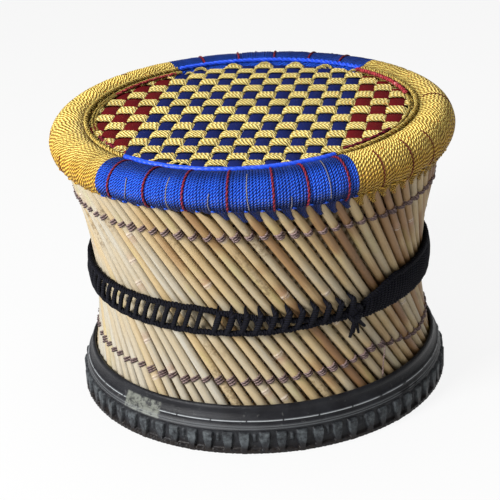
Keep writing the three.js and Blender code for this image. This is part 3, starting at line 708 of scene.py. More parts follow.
class Nodes:
    """A node tree while it is put together. A colour is three numbers."""

    def __init__(self, tree):
        self.tree = tree

    def feed(self, socket, value):
        """Link a value to a socket, or set the socket's own number or colour."""
        if isinstance(value, Value):
            self.tree.links.new(value.socket, socket)
        elif isinstance(value, tuple):
            socket.default_value = (*value, 1)
        else:
            socket.default_value = value

    def node(self, kind, inputs=(), output=0, **settings):
        """One output of a new node, given by its number or name."""
        made = self.tree.nodes.new(kind)
        for key, value in settings.items():
            setattr(made, key, value)
        for socket, value in dict(inputs).items():
            self.feed(made.inputs[socket], value)
        return Value(self, made.outputs[output])

    def math(self, operation, *values):
        return self.node("ShaderNodeMath", enumerate(values), operation=operation)

    def seen_by(self, *kinds):
        """1 for two kinds of ray and 0 for all others."""
        rays = [self.node("ShaderNodeLightPath", output=f"Is {kind} Ray") for kind in kinds]
        return self.math("MAXIMUM", *rays)


class Look(Nodes):
    """A material while it is put together."""

    def __init__(self, name, **fixed):
        self.material = bpy.data.materials.new(name)
        self.material.use_nodes = True
        super().__init__(self.material.node_tree)
        self.shader = self.tree.nodes["Principled BSDF"]
        for socket, value in fixed.items():
            self.feed(self.shader.inputs[socket.replace("_", " ")], value)

    def between(self, value, low, high):
        """The value's share of the way from low to high, kept within 0 and 1."""
        return self.node("ShaderNodeMapRange", {0: value, 1: low, 2: high}, interpolation_type="SMOOTHSTEP")

    def blend(self, factor, one, other, kind="MIX"):
        return self.node("ShaderNodeMix", {0: factor, 6: one, 7: other}, 2, data_type="RGBA", blend_type=kind)

    def paint(self, base, colour, share, *more_shares):
        """A colour laid over the base, as strongly as the shares multiplied together."""
        return self.blend(math.prod(more_shares, start=share), base, colour)

    def ramp(self, value, colours):
        made = self.node("ShaderNodeValToRGB", {0: value})
        stops = made.socket.node.color_ramp.elements
        for index, (place, colour) in enumerate(colours.items()):
            stop = stops[index] if index < 2 else stops.new(place)
            stop.position = place
            stop.color = (*colour, 1)
        return made

    def noise(self, scale, detail=3.0, roughness=0.5, at=None):
        """Soft random values, spread over the stool unless a vector says where."""
        vector = self.place() if at is None else at
        inputs = {"Vector": vector, "Scale": scale, "Detail": detail, "Roughness": roughness}
        return self.node("ShaderNodeTexNoise", inputs)

    def place(self):
        return self.node("ShaderNodeTexCoord", output="Object")

    def held(self, name):
        """What a mesh holds under a name."""
        return self.node("ShaderNodeAttribute", output="Vector", attribute_name=name)

    def vector(self, *parts):
        return self.node("ShaderNodeCombineXYZ", enumerate(parts))

    def split(self, vector):
        parts = self.node("ShaderNodeSeparateXYZ", {0: vector}).socket.node.outputs
        return [Value(self, part) for part in parts]

    def finish(self, colour, roughness, height, depth):
        self.feed(self.shader.inputs["Base Color"], colour)
        self.feed(self.shader.inputs["Roughness"], roughness)
        relief = self.node("ShaderNodeBump", {"Height": height, "Distance": depth})
        self.feed(self.shader.inputs["Normal"], relief)
        return self.material


def rope_look(
    name, colours, lay, depth, roughness, flecks, valley, strands=3, twist=0.8, gloss=0.3, warm_shade_height=None
):
    """Twisted rope: strands slant round it, with painted shade where they meet and where turns touch, and
    flecks.
    """
    dark, light, fleck = colours
    look = Look(name, Specular_IOR_Level=gloss)
    cosine, sine, along = look.split(look.held("strand"))
    tint, painted_section_shade, _ = look.split(look.held("tone"))
    start = tint * 7.0 + look.math("ARCTAN2", sine, cosine) * -float(strands)
    wind = along * (FULL_TURN * strands / lay) + start
    lobe = look.math("SINE", wind) * 0.5 + 0.5
    fibre = look.noise(1.6, 3.0, 0.6, look.vector(wind * 1.3, along * 160.0, tint))
    mixed = lobe * twist + (fibre * 0.5 + (0.9 * (1 - twist) - 0.25))
    # The dark and light colours paint shade between the strands and a highlight on them
    body = look.blend(look.between(mixed, 0.18, 0.90), dark, light)
    # Painted shade: each turn darker on the side turned from its guide, where it meets the core and its
    # neighbours
    crest = look.between(cosine, -0.15, 0.8)
    cloud = look.noise(45.0)
    shade = (cloud * 0.6 + (tint * 0.3 + 0.6)) * (crest * valley + (1 - valley))
    # Painted shade round the rim's section, from the tone's second value
    shade = shade * (painted_section_shade * -FULL_SHADE + 1.0)
    body = look.blend(1.0, body, look.vector(shade, shade, shade), "MULTIPLY")
    # Painted shade: the gold rope darker and more orange below a height
    if warm_shade_height is not None:
        _, _, height = look.split(look.place())
        warm_shade_share = look.between(cloud * WARM_DRIFT + height, warm_shade_height + WARM_WIDTH, warm_shade_height)
        body = look.blend(warm_shade_share * 0.90, body, WARM_SHADE_TINT, "MULTIPLY")
    spots = look.between(look.noise(210.0, 2.0, 0.6), 0.68 - flecks, 0.74 - flecks)
    body = look.paint(body, fleck, spots, 0.75)
    return look.finish(body, roughness, fibre * 0.3 + lobe, depth)


def cane_look(name, colours):
    """Cane rind: a colour of its own for each cane, streaks, green and stained stretches, scarred joints."""
    look = Look(name, Specular_IOR_Level=0.35)
    cosine, sine, along = look.split(look.held("strand"))
    tint, joint, patch = look.split(look.held("tone"))
    own = tint * 37.0
    turned = look.vector(cosine * 0.9 + own, sine * 0.9, along * 9.0)
    streak = look.noise(3.0, 4.0, 0.6, turned)
    fine = look.noise(14.0, 3.0, 0.7, look.vector(cosine + own, sine, along * 30.0))
    slow = look.noise(1.0, at=look.vector(own, 4.0, along * 6.0))
    depth = look.between(slow, 0.42, 0.58) * 0.95 + 0.45
    rind = look.ramp((streak - 0.5) * 0.42 + tint * depth, colours)
    drift = look.noise(1.0, at=look.vector(own, sine * 0.3, along * 13.0))
    rind = look.paint(rind, GREEN_STRETCH, look.between(drift, 0.56, 0.74), 0.42)
    rind = look.paint(rind, BROWN_STREAK, look.between(fine, 0.45, 0.75), 0.30)
    grit = look.noise(330.0, 4.0, 0.75)
    stained = look.between(look.noise(1.0, at=look.vector(own + 9.0, 0.0, along * 10.0)), 0.58, 0.66)
    rind = look.paint(rind, STAIN, stained, look.between(grit, 0.42, 0.62), 0.7)
    freckles = look.between(look.noise(60.0, 2.0, 0.7, turned), 0.66, 0.72)
    rind = look.paint(rind, FRECKLE, freckles, 0.55)
    rind = look.paint(rind, JOINT_PATCH, patch, look.between(grit, 0.30, 0.60), 0.75)
    ring = look.between(joint, 0.04, 0.40)
    rind = look.paint(rind, JOINT_RING, ring, look.between(grit, 0.36, 0.60), 0.80)
    scar = look.between(joint, 0.80, 0.97)
    rind = look.paint(rind, JOINT_SCAR, scar, look.between(fine, 0.35, 0.55), 0.85)
    return look.finish(rind, fine * 0.3 + 0.36, grit * (joint * 0.9 + 0.12) + fine, CANE_RELIEF)


def tyre_look():
    """Worn rubber: a grey bloom, scuffed lugs, pale rubbed lines, a dried patch and dirt near the floor."""
    look = Look("tyre_rubber", Specular_IOR_Level=0.22)
    line, dried, lug = look.split(look.held("tone"))
    dust = look.noise(24.0, 5.0, 0.65)
    grain = look.noise(900.0, 3.0, 0.6)
    scuffs = look.noise(150.0, 4.0, 0.75)
    rubber = look.blend(look.between(dust, 0.35, 0.75), *RUBBER)
    rubber = look.paint(rubber, GREY_BLOOM, look.between(scuffs, 0.30, 0.70), lug)
    rubber = look.paint(rubber, SCUFF, look.between(scuffs, 0.60, 0.72), 0.25)
    rubber = look.paint(rubber, DRIED_PATCH, dried, look.between(scuffs, 0.34, 0.56), 0.8)
    rubber = look.paint(rubber, RUBBED_LINE, line, look.between(look.noise(60.0, 4.0), 0.30, 0.42))
    _, _, height = look.split(look.place())
    dirt = look.between(look.noise(260.0, 4.0, 0.7), 0.30, 0.62)
    rubber = look.paint(rubber, DIRT, look.between(height, *DIRT_HEIGHTS), dirt)
    return look.finish(rubber, dust * 0.30 + (lug * 0.25 + 0.26), scuffs * lug + grain, TYRE_RELIEF)


def tape_look(name, dark, light):
    """Flat woven tape with fine ribs along it."""
    look = Look(name, Specular_IOR_Level=0.12)
    x, y, _ = look.split(look.place())
    rib = look.math("SINE", x * (FULL_TURN / TAPE_RIB))
    pick = look.math("SINE", y * (FULL_TURN / TAPE_PICK))
    cloth = rib * pick * 0.25 + 0.5
    cloud = look.noise(90.0)
    body = look.blend(cloud * 0.7 + (cloth * 0.4 - 0.1), dark, light)
    return look.finish(body, cloud * 0.2 + 0.6, cloth, TAPE_RELIEF)


def straw_look():
    look = Look("bundled_straw")
    fine = look.noise(320.0, 4.0, 0.7)
    body = look.ramp(fine, STRAW)
    return look.finish(body, 0.85, fine, STRAW_RELIEF)


def bamboo_look():
    look = Look("split_bamboo")
    x, y, z = look.split(look.place())
    angle = look.math("ARCTAN2", y, x) * 4.0
    radius = look.math("SQRT", x * x + y * y)
    grain = look.noise(1.0, 4.0, 0.6, look.vector(angle, radius * 900.0, z * 900.0))
    body = look.ramp(grain, BAMBOO)
    return look.finish(body, 0.6, grain, BAMBOO_RELIEF)


# Canes
class Layer:
    """One layer of straight canes, all leaning the same way."""

    def __init__(self, count, radius, slope, radii):
        self.count = count
        self.radius = radius
        self.slope = slope
        self.radii = random.uniform(*radii, count)
        self.tops = random.uniform(-CANE_SWAY, CANE_SWAY, count)
        self.feet = random.uniform(-CANE_SWAY, CANE_SWAY, count)
        self.first = -(count // PANELS - 1) / 2
        self.tints = random.beta(*TINT_ODDS, count) * TINT_SHARE
        # Tints rise towards the right as seen: partly the canes' own colour, partly painted shade, and the
        # pale left ones partly painted light
        rightness = 0.5 + 0.5 * np.sin(FULL_TURN * (np.arange(count) + self.first) / count - STOOL_TURN)
        self.tints += RIGHT_TINT_AND_SHADE * rightness
        browned = random.uniform(0, 1, count) < BROWN_SHARE * rightness**2
        self.tints[browned] = random.uniform(*BROWN_TINTS, browned.sum())

    def angle(self, index):
        return FULL_TURN * (index + self.first) / self.count

    def line(self, index, heights):
        """A cane's centre line at the given heights."""
        heights = np.asarray(heights, float)
        share = (heights - CANE_FOOT) / (CANE_TOP - CANE_FOOT)
        sway = self.feet[index] * (1 - share) + self.tops[index] * share
        along = self.slope * (heights - WAIST_HEIGHT) + sway * self.radius
        return around(self.angle(index), self.radius, heights) + sideways(self.angle(index), along)

    def plan_angle(self, index, height):
        point = self.line(index, [height])[0]
        return math.atan2(point[0], -point[1])

    def reach(self, height):
        """How far from the stool's axis the canes' centre lines are at a height."""
        return math.hypot(self.radius, self.slope * (height - WAIST_HEIGHT))


def cane(layer, index, rise):
    """A cane with its joints, cut aslant at the top."""
    joints = []
    height = CANE_FOOT + random.uniform(*FIRST_JOINTS)
    while height < CANE_TOP - TIP_WITHOUT_JOINTS:
        joints.append(height)
        height += random.uniform(*JOINT_SPACINGS)
    top = CANE_TOP + rise
    plain = np.arange(CANE_FOOT, top - TIP_CLEAR, CANE_STEP)
    near = [joint + offset * JOINT_WIDTH for joint in joints for offset in JOINT_OFFSETS]
    heights = np.unique(np.concatenate([plain, near, [top]]))
    heights = heights[(heights <= top - TIP_CLEAR) | (heights == top)]
    swell = np.zeros(len(heights))
    patch = np.zeros(len(heights))
    for joint in joints:
        swell += hill(heights - joint, JOINT_WIDTH)
        middle = joint + random.choice([-1, 1]) * PATCH_WIDTH
        patch += random.uniform(*PATCH_SHARES) * hill(heights - middle, PATCH_WIDTH)
    out = outward(layer.angle(index))
    side = sideways(layer.angle(index))
    arch = np.sin(math.pi * (heights - CANE_FOOT) / (top - CANE_FOOT))[:, None]
    bow = random.uniform(-CANE_BOW, CANE_BOW) * out + random.uniform(-CANE_BOW, CANE_BOW) * side
    path = layer.line(index, heights) + arch * bow
    taper = 1 + random.uniform(-CANE_TAPER_SHARE, CANE_TAPER_SHARE) * (heights - WAIST_HEIGHT) / WAIST_HEIGHT
    rate = random.uniform(*CANE_WANDER_RATES)
    wander = 1 + CANE_WANDER_SHARE * np.sin(heights * rate + random.uniform(0, FULL_TURN))
    radius = layer.radii[index] * taper * wander * (1 + JOINT_SWELL * swell)
    tone = np.stack([np.full(len(heights), layer.tints[index]), swell, np.minimum(patch, 1)], axis=1)
    slant = random.uniform(*TIP_SLANTS) * math.copysign(1, layer.slope)
    cut = UPWARD - side * slant + out * random.uniform(*TIP_LEANS)
    return tube(path, radius, CANE_SIDES, out, tone=tone, cut=cut)


def cane_panels(layer, slot, look, rises):
    """The layer's canes, in panels of equal number."""
    per_panel = layer.count // PANELS
    for panel in range(PANELS):
        numbers = range(panel * per_panel, (panel + 1) * per_panel)
        canes = [cane(layer, index, rises[index]) for index in numbers]
        dress(f"{slot}s_{panel + 1:02d}", canes, look, CANE_CREASE)


# Twine
def twine_row(layer, level, sway, lift):
    """One twine that takes two or three turns round every cane in its row and passes on to the next."""
    drift = random.uniform(0, FULL_TURN, 3)
    steps = np.linspace(-0.5, 0.5, TWINE_STEPS)
    paths, guides = [], []
    for index in range(layer.count):
        passes = 3 if random.uniform() < TWINE_THRICE_SHARE else 2
        turns = passes - TWINE_SHORT_TURN
        place = FULL_TURN * index / layer.count
        height = level + lift * hill(layer.plan_angle(index, level) - LIFT_ANGLE, LIFT_SPREAD)
        waves = (share * math.sin(rate * place + start) for (rate, share), start in zip(TWINE_WAVES, drift))
        rise = sway * sum(waves)
        rise += random.uniform(-0.5, 0.5) * sway
        low, centre, high = layer.line(index, height + rise + AXIS_REACH * np.array((-1, 0, 1)))
        axis = unit(high - low)
        out = outward(layer.plan_angle(index, height))
        out = unit(out - (out @ axis) * axis)
        turn = steps * turns * FULL_TURN + (0 if passes % 2 else math.pi)
        reach = layer.radii[index] + TWINE_RADIUS * TWINE_SEAT_SHARE
        slant = TWINE_SLANT_SHARE * TWINE_PITCH * np.sin(turn)
        spread = steps * turns * TWINE_PITCH * random.uniform(*TWINE_PITCH_VARIES) - slant
        paths.append(
            centre
            + reach * np.cos(turn)[:, None] * out
            + reach * TWINE_SIDE_SHARE * np.sin(turn)[:, None] * np.cross(axis, out)
            + spread[:, None] * axis
        )
        guides.append(np.broadcast_to(axis, (TWINE_STEPS, 3)))
    path = np.concatenate(paths)
    return [tube(path, TWINE_RADIUS, TWINE_SIDES, np.concatenate(guides), closed=True, tone=CORD_TONE)]


def loose_tail(layer):
    """The loose end of the lower twine, which crosses three canes and curls behind the tyre's lip."""
    points = []
    for shift, height, proud in TAIL_PLACES:
        angle = layer.plan_angle(TAIL_CANE, height) - shift * FULL_TURN / layer.count
        points.append(around(angle, layer.reach(height) + layer.radii.max() + proud, height))
    share = np.linspace(0, len(points) - 1, TAIL_STEPS)
    path = np.stack([smooth_curve(share, values) for values in np.transpose(points)], axis=1)
    return tube(path, TAIL_RADIUS, TWINE_SIDES, UPWARD, tone=PALE_TONE)


def smooth_curve(share, values):
    """A curve through evenly numbered values, with matching slopes where the spans meet."""
    slopes = np.gradient(values)
    low = np.clip(np.floor(share).astype(int), 0, len(values) - 2)
    part = share - low
    one = (2 * part**3 - 3 * part**2 + 1) * values[low]
    two = (part**3 - 2 * part**2 + part) * slopes[low]
    three = (-2 * part**3 + 3 * part**2) * values[low + 1]
    four = (part**3 - part**2) * slopes[low + 1]
    return one + two + three + four


# Waist band
def rail_height(rail, angle):
    apart, together, start = rail
    share = np.clip((angle - start) / (MERGE_END - start), 0, 1)
    return mix((apart, together), share)


def rail_cord(angles, heights):
    wobble = RAIL_WOBBLE * np.sin(angles * RAIL_WAVES + random.uniform(0, FULL_TURN))
    path = around(angles, BAND_RADIUS + RAIL_PROUD, heights + wobble)
    return twisted(path, outward(angles), RAIL_STRAND, RAIL_TWIST, RAIL_STRANDS, CORD_TONE, RAIL_REACH_SHARE)


def rung(angle, low, high, slant, radius=RUNG_RADIUS, tucked=0.0):
    """A cord that climbs like a long S, its top bent back and tucked in between two canes."""
    share = np.linspace(0, 1, RUNG_STEPS)
    arch = np.sin(math.pi * share)
    swing = slant * (share + RUNG_BULGE * np.sin(FULL_TURN * share))
    bend = tucked * smooth_step((share - HOOK_START) / (1 - HOOK_START))
    proud = BAND_RADIUS + RUNG_PROUD[0] + RUNG_PROUD[1] * arch - HOOK_TUCK * bend**2
    path = around(angle + swing - HOOK_CURL * bend, proud, mix((low, high), share))
    width = 1 + tucked * HOOK_SWELL_SHARE * arch - HOOK_TAPER_SHARE * bend**2
    width = radius * random.uniform(*RUNG_VARIES) * width
    return tube(path, width, RUNG_SIDES, outward(angle), tone=any_tint())


def waist_ladder(layer):
    """Two rails with slanted rungs, the later ones hooked in between the canes."""
    end = KNOT_ANGLE - KNOT_HALF
    angles = np.arange(LADDER_START, end, RAIL_STEP)
    parts = rail_cord(angles, rail_height(UPPER_RAIL, angles))
    parts += rail_cord(angles, rail_height(LOWER_RAIL, angles))
    starts = [(angle, 0.0) for angle in np.arange(LADDER_START + RUNG_PITCH / 2, MERGE_START, RUNG_PITCH)]
    half_pitch = FULL_TURN / layer.count / 2
    for index in range(layer.count):
        angle = layer.plan_angle(index, RUNG_TOP) + half_pitch + HOOK_CURL - RUNG_SLANT
        if MERGE_START < angle < end:
            starts.append((angle, 1.0))
    for angle, tucked in starts:
        top = RUNG_TOP + RUNG_TOP_VARIES * random.normal()
        parts.append(rung(angle, rail_height(LOWER_RAIL, angle), top, RUNG_SLANT, tucked=tucked))
    for angle in np.radians(CROSSING_PLACES):
        low, high = rail_height(LOWER_RAIL, angle), rail_height(UPPER_RAIL, angle)
        slant = -RUNG_SLANT * CROSSING_SLANT_SHARE
        parts.append(rung(angle, low, high, slant, RUNG_RADIUS * CROSSING_RADIUS_SHARE))
    return parts


def waist_strap():
    """The same cords drawn close together, narrowing towards the knot."""
    start = KNOT_ANGLE + KNOT_HALF
    end = LADDER_START + FULL_TURN
    low = STRAP_BOTTOM + RAIL_STRAND

    def top_at(angle):
        share = np.clip((angle - start) / STRAP_TAPER, 0, 1)
        return STRAP_BOTTOM + STRAP_HEIGHT * mix((STRAP_TAPER_SHARE, 1), share) - RAIL_STRAND

    angles = np.arange(start, end, RAIL_STEP)
    parts = rail_cord(angles, top_at(angles))
    parts += rail_cord(angles, low)
    parts.append(backing(np.arange(start, end, BACKING_STEP), low, top_at))
    angle = start
    while angle + RUNG_SLANT < end:
        top = top_at(angle + RUNG_SLANT)
        parts.append(rung(angle, low, top, RUNG_SLANT * STRAP_SLANT_SHARE, RUNG_RADIUS * STRAP_RADIUS_SHARE))
        angle += STRAP_PITCH
    return parts


def backing(angles, low, top_at):
    """A flat strip that stands on edge behind the strap's cords."""
    middle = (top_at(angles) + low) / 2
    line = around(angles, BAND_RADIUS - BACKING_SINK, middle)
    half = (middle - low + BACKING_SINK)[:, None] * UPWARD
    corners = [(-1, -1), (1, -1), (1, 1), (-1, 1)]
    edges = [line + out * BACKING_HALF_WIDTH * outward(angles) + up * half for out, up in corners]
    return bar(edges, grid_faces(len(angles), len(corners), False))


def waist_knot():
    """A lump of crossed loops, with short tails that hang from it."""
    parts = []
    out = outward(KNOT_ANGLE)
    turn = np.linspace(0, FULL_TURN, KNOT_LOOP_STEPS, endpoint=False)
    for loop in range(KNOT_LOOPS):
        tilt = loop * KNOT_TILTS[1] + KNOT_TILTS[0]
        wide = KNOT_LOOP_HALVES[0] * np.cos(turn)
        tall = (KNOT_LOOP_HALVES[1] - KNOT_SHRINK * loop) * np.sin(turn)
        across = wide * math.cos(tilt) - tall * math.sin(tilt)
        height = KNOT_HEIGHT + wide * math.sin(tilt) + tall * math.cos(tilt)
        radius = BAND_RADIUS + KNOT_PROUD + KNOT_RIPPLE * np.sin(2 * turn + loop)
        path = around(KNOT_ANGLE + across / BAND_RADIUS, radius, height)
        parts.append(tube(path, RUNG_RADIUS, ROPE_SIDES, out, closed=True, tone=KNOT_TONE))
    share = np.linspace(0, 1, KNOT_TAIL_STEPS)
    for lean, foot, radius in KNOT_TAILS:
        angle = KNOT_ANGLE + math.radians(lean) * share**KNOT_TAIL_BEND
        height = mix((KNOT_HEIGHT - KNOT_TAIL_DROP, foot), share)
        path = around(angle, BAND_RADIUS + KNOT_PROUD - KNOT_TAIL_SINK * share, height)
        width = radius * (1 - KNOT_TAIL_TAPER_SHARE * share)
        parts.append(tube(path, width, CORD_SIDES, out, tone=KNOT_TONE))
    return parts


# Rim
def settled(points):
    """The rim is thinner towards the front left: its crest lies lower there and its underside stays level."""
    angle = np.arctan2(points[..., 0], -points[..., 1])
    nearness = (1 + np.cos(angle - CREST_DROP_ANGLE)) / 2
    share = np.maximum((points[..., 2] - RIM_HEIGHT + RIM_HALF_HEIGHT) / (2 * RIM_HALF_HEIGHT), 0)
    lowered = points.copy()
    lowered[..., 2] -= CREST_DROP * nearness**CREST_DROP_FOCUS * share
    return lowered


class Rim:
    """The rim's surface, pressed in by the cane tips and hanging between them."""

    def __init__(self, layer):
        self.layer = layer
        self.tips = np.sort([layer.plan_angle(index, CANE_TOP) % FULL_TURN for index in range(layer.count)])
        growth = smooth_step((signed(self.tips) - DIP_GROWTH[0]) / (DIP_GROWTH[1] - DIP_GROWTH[0]))
        self.depths = mix(DIP_DEPTHS, growth) * random.uniform(*DIP_VARIES, layer.count)
        self.pinches = np.radians([*FRONT_TRACERS, *REAR_TRACERS, *RED_THREADS])

    def phase(self, angle):
        """How far an angle is past the last tip, from 0 to 1, and that tip's number."""
        tips = np.concatenate([[self.tips[-1] - FULL_TURN], self.tips, [self.tips[0] + FULL_TURN]])
        place = np.interp(np.mod(angle, FULL_TURN), tips, np.arange(len(tips)))
        number = np.floor(place).astype(int)
        return place - number, number % len(self.depths)

    def point(self, angle, place, sink):
        """A point of the rim, pinched in under its tracers and hanging in points between the tips."""
        weight = hill(signed(place - DIP_PLACE), DIP_SPREAD) ** 2
        phase, number = self.phase(angle)
        gap = smooth_step(1 - np.abs(phase - 0.5) / DIP_HALF_SHARE)
        drop = weight * gap * self.depths[number] * DIP_SHARE
        pinched = hill(signed(np.asarray(angle)[..., None] - self.pinches), PINCH_WIDTH).sum(axis=-1)
        sink = sink + PINCH_DEPTH * pinched
        radius = RIM_RADIUS + (RIM_HALF_WIDTH - sink) * np.cos(place)
        radius = radius - weight * TIP_DENT * (1 - gap) - drop * DIP_TUCK_SHARE
        height = RIM_HEIGHT + (RIM_HALF_HEIGHT - sink) * np.sin(place) - drop
        return settled(around(angle + DIP_LEAN_SHARE * drop / RIM_RADIUS, radius, height))


def winding(rim, start, end, slot):
    """One rope wound round the rim, turn against turn."""
    pitch = ROPE_PITCHES[slot]
    turns = int(round((end - start) * RIM_RADIUS / pitch))
    share = np.linspace(0, 1, turns * TURN_STEPS)

    def turn_by_turn(values):
        return np.interp(share * turns, np.arange(turns + 1), values)

    jitter = turn_by_turn(random.normal(0, 1, turns + 1))
    angle = start + (end - start) * share + jitter * TURN_JITTER / RIM_RADIUS
    place = math.pi + FULL_TURN * share * turns
    radius = pitch / 2 * ROPE_OVERLAP_SHARE
    lift = turn_by_turn(random.normal(0, 1, turns + 1)) * TURN_LIFT
    path = rim.point(angle, place, radius - lift)
    guide = unit(path - around(angle, RIM_RADIUS, RIM_HEIGHT))
    tints = turn_by_turn(random.uniform(0, 1, turns + 1))
    # Painted shade round the section: darker underneath, and on the blue across the top as well
    shade = np.interp(np.degrees(signed(place)), *zip(*SECTION_SHADES[slot]))
    tone = np.stack([tints, shade, np.zeros(len(share))], axis=1)
    return [tube(path, radius, ROPE_SIDES, guide, tone=tone)]


def stitches(rim, start, end):
    """Small loops that tie the rope down above each cane tip."""
    parts = []
    share = np.linspace(0, 1, SHORT_STEPS)
    arch = np.sin(math.pi * share)
    for tip in rim.tips:
        angle = start + (tip - start) % FULL_TURN
        if angle > end:
            continue
        across = angle + STITCH_SPREAD / RIM_RADIUS * np.cos(math.pi * share)
        place = STITCH_PLACE + STITCH_WAVES[0] * arch + random.uniform(-STITCH_WAVES[1], STITCH_WAVES[1])
        path = rim.point(across, place, STITCH_DEPTHS[0] - STITCH_DEPTHS[1] * arch)
        # The stitches take the palest tint and none of the rim's painted shade: a painted highlight where
        # they stand out into the light
        parts.append(tube(path, STITCH_RADIUS, STITCH_SIDES, outward(angle), tone=PALE_TONE))
    return parts


def fans(rim, start, end, shade):
    """Turns drawn together between two canes into a hanging point that leans on the next cane."""
    parts = []
    half_pitch = FULL_TURN / len(rim.tips) / 2
    share = np.linspace(0, 1, SHORT_STEPS)[:, None]
    for tip, depth in zip(rim.tips, rim.depths):
        angle = start + (tip + half_pitch - start) % FULL_TURN
        if angle + half_pitch > end or depth < LEAST_FAN:
            continue
        height = CANE_TOP - depth
        reach = rim.layer.reach(height)
        lean = abs(rim.layer.slope) * depth + FAN_SHIFT
        apex = around(angle + lean / reach, reach + rim.layer.radii.mean() - FAN_SINK, height)
        for side in np.linspace(-1, 1, FAN_STRANDS):
            top = angle + side * FAN_HALF_WIDTH / RIM_RADIUS
            first, bend = (rim.point(top, place, FAN_RADIUS * FAN_SEAT_SHARE) for place in FAN_PLACES)
            last = apex + sideways(angle, side * FAN_RADIUS * FAN_CLOSE_SHARE)
            path = (1 - share) ** 2 * first + 2 * share * (1 - share) * bend + share**2 * last
            # Each hanging strand takes the rim's painted underside shade
            tone = (random.uniform(0, 1), shade, 0)
            parts.append(tube(path, FAN_RADIUS, CORD_SIDES, outward(angle), tone=tone))
    return parts


def rim_thread(rim, degrees, radius, places):
    """A cord laid over the rope from one place on the rim's section to another."""
    share = np.linspace(0, 1, TRACER_STEPS)
    swing, slip = (random.uniform(-drift, drift) for drift in THREAD_DRIFTS)
    angle = math.radians(degrees) + (swing * np.sin(math.pi * share) + slip * share) / RIM_RADIUS
    path = rim.point(angle, mix(np.radians(places), share), -radius * THREAD_SEAT_SHARE)
    guide = unit(path - around(angle, RIM_RADIUS, RIM_HEIGHT))
    return tube(path, radius, ROPE_SIDES, guide, tone=any_tint())


def rim_core():
    thickness = RIM_HALF_HEIGHT - CORE_DEPTH
    points, *others = level_ring(RIM_RADIUS, RIM_HEIGHT, thickness, *CORE_SEGMENTS, CORE_FLATNESS)
    return [(settled(points), *others)]


# Seat
def seat_weft():
    """Gold ropes side by side in rows, over and under the strips of the warp."""
    parts = []
    for row in range(-HALF_ROWS, HALF_ROWS + 1):
        middle = ROW_REACH * math.sin(row * ROW_TURN)
        pitch = ROW_REACH * ROW_TURN * math.cos(row * ROW_TURN)
        half_widths = [pitch * share for share in WEFT_HALF_SHARES]
        radius = WEFT_ROPE_RADIUS * math.sqrt(math.cos(row * ROW_TURN))
        for rope in range(WEFT_ROPES):
            share = 2 * (rope + 0.5) / WEFT_ROPES - 1
            line = middle + share * half_widths[1]
            if abs(line) > SEAT_RADIUS - WEFT_CLEAR:
                continue
            reach = math.sqrt(SEAT_RADIUS**2 - line**2)
            x = np.linspace(-reach, reach, int(2 * reach / WEFT_STEP) + 2)
            wave = np.cos(math.pi * (x / COLUMN_PITCH - 0.5 + row))
            level = np.clip(wave * WEFT_STEEPNESS, -1, 1)
            over = smooth_step((level + 1) / 2)
            y = middle + share * mix(half_widths, over)
            crown = WEFT_CROWN * over * (1 - share**2)
            height = WEAVE_HEIGHT + WEFT_SWING * level + crown + random.normal(0, WEFT_VARIES)
            fall = smooth_step((np.abs(x) - reach + WEFT_FALL) / WEFT_FALL)
            height = height * (1 - fall) + (WEAVE_HEIGHT - FALL_DEPTH) * fall
            path = np.stack([x, y, height], axis=1)
            parts.append(tube(path, radius, WEFT_SIDES, UPWARD, tone=any_tint(), flat=WEFT_FLATNESS))
    for column in ARC_COLUMNS:
        parts += rear_arc((column + 0.5) * COLUMN_PITCH)
    return parts


def rear_arc(x):
    """Weft ropes that turn back over a strip at the rear edge in a standing bow."""
    y = math.sqrt(SEAT_RADIUS**2 - x**2) - ARC_INSET
    turn = np.linspace(0, math.pi, ARC_STEPS)
    parts = []
    for span in ARC_SPANS:
        height = WEAVE_HEIGHT - ARC_SINK + span * ARC_RISE_SHARE * np.sin(turn)
        path = np.stack([x + span * np.cos(turn), y + ARC_BOW * np.sin(turn), height], axis=1)
        guide = unit(path - np.array([x, y, WEAVE_HEIGHT - ARC_CENTRE_SINK]))
        radius = WEFT_ROPE_RADIUS * ARC_ROPE_SHARE
        parts.append(tube(path, radius, ROPE_SIDES, guide, tone=any_tint(LEAST_ARC_TINT)))
    return parts


def seat_warp(first, end, width):
    """Flat strips from front to back, joined to nothing but the weave and the hoop."""
    parts = []
    for column in range(first, end):
        x = (column + 0.5) * COLUMN_PITCH
        reach = math.sqrt((SEAT_RADIUS + WARP_PAST) ** 2 - x**2)
        y = np.linspace(-reach, reach, int(2 * reach / WARP_STEP) + 2)
        wave = np.cos(math.pi * (np.arcsin(y / ROW_REACH) / ROW_TURN + column))
        height = WEAVE_HEIGHT - WARP_SWING * np.clip(wave * WARP_STEEPNESS, -1, 1)
        height = height - FALL_DEPTH * smooth_step((np.abs(y) - reach + WARP_FALL) / WARP_FALL)
        middle = np.stack([np.full_like(y, x), y, height], axis=1)
        parts.append(flat_strip(middle, width, random.uniform(-WARP_TILT, WARP_TILT)))
    return parts


def flat_strip(middle, width, tilt):
    edges = []
    for across, up in WARP_SECTION:
        edges.append(middle + np.array([across * width / 2, 0, up * WARP_THICKNESS / 2 + across * tilt]))
    return bar(edges, [face[::-1] for face in grid_faces(len(middle), len(WARP_SECTION), False)])


def seat_cord(start, end, ring, strand_radius, lay, strands, wave):
    angles = np.arange(start, end, CORD_STEP)
    radius = ring[0] + wave * np.sin(angles * CORD_WAVES[0])
    height = ring[1] + wave * 0.5 * np.sin(angles * CORD_WAVES[1] + 1)
    path = settled(around(angles, radius, height))
    # The strands are guided upwards, so the rope look's painted shade falls on their undersides
    return twisted(path, UPWARD, strand_radius, lay, strands, any_tint())


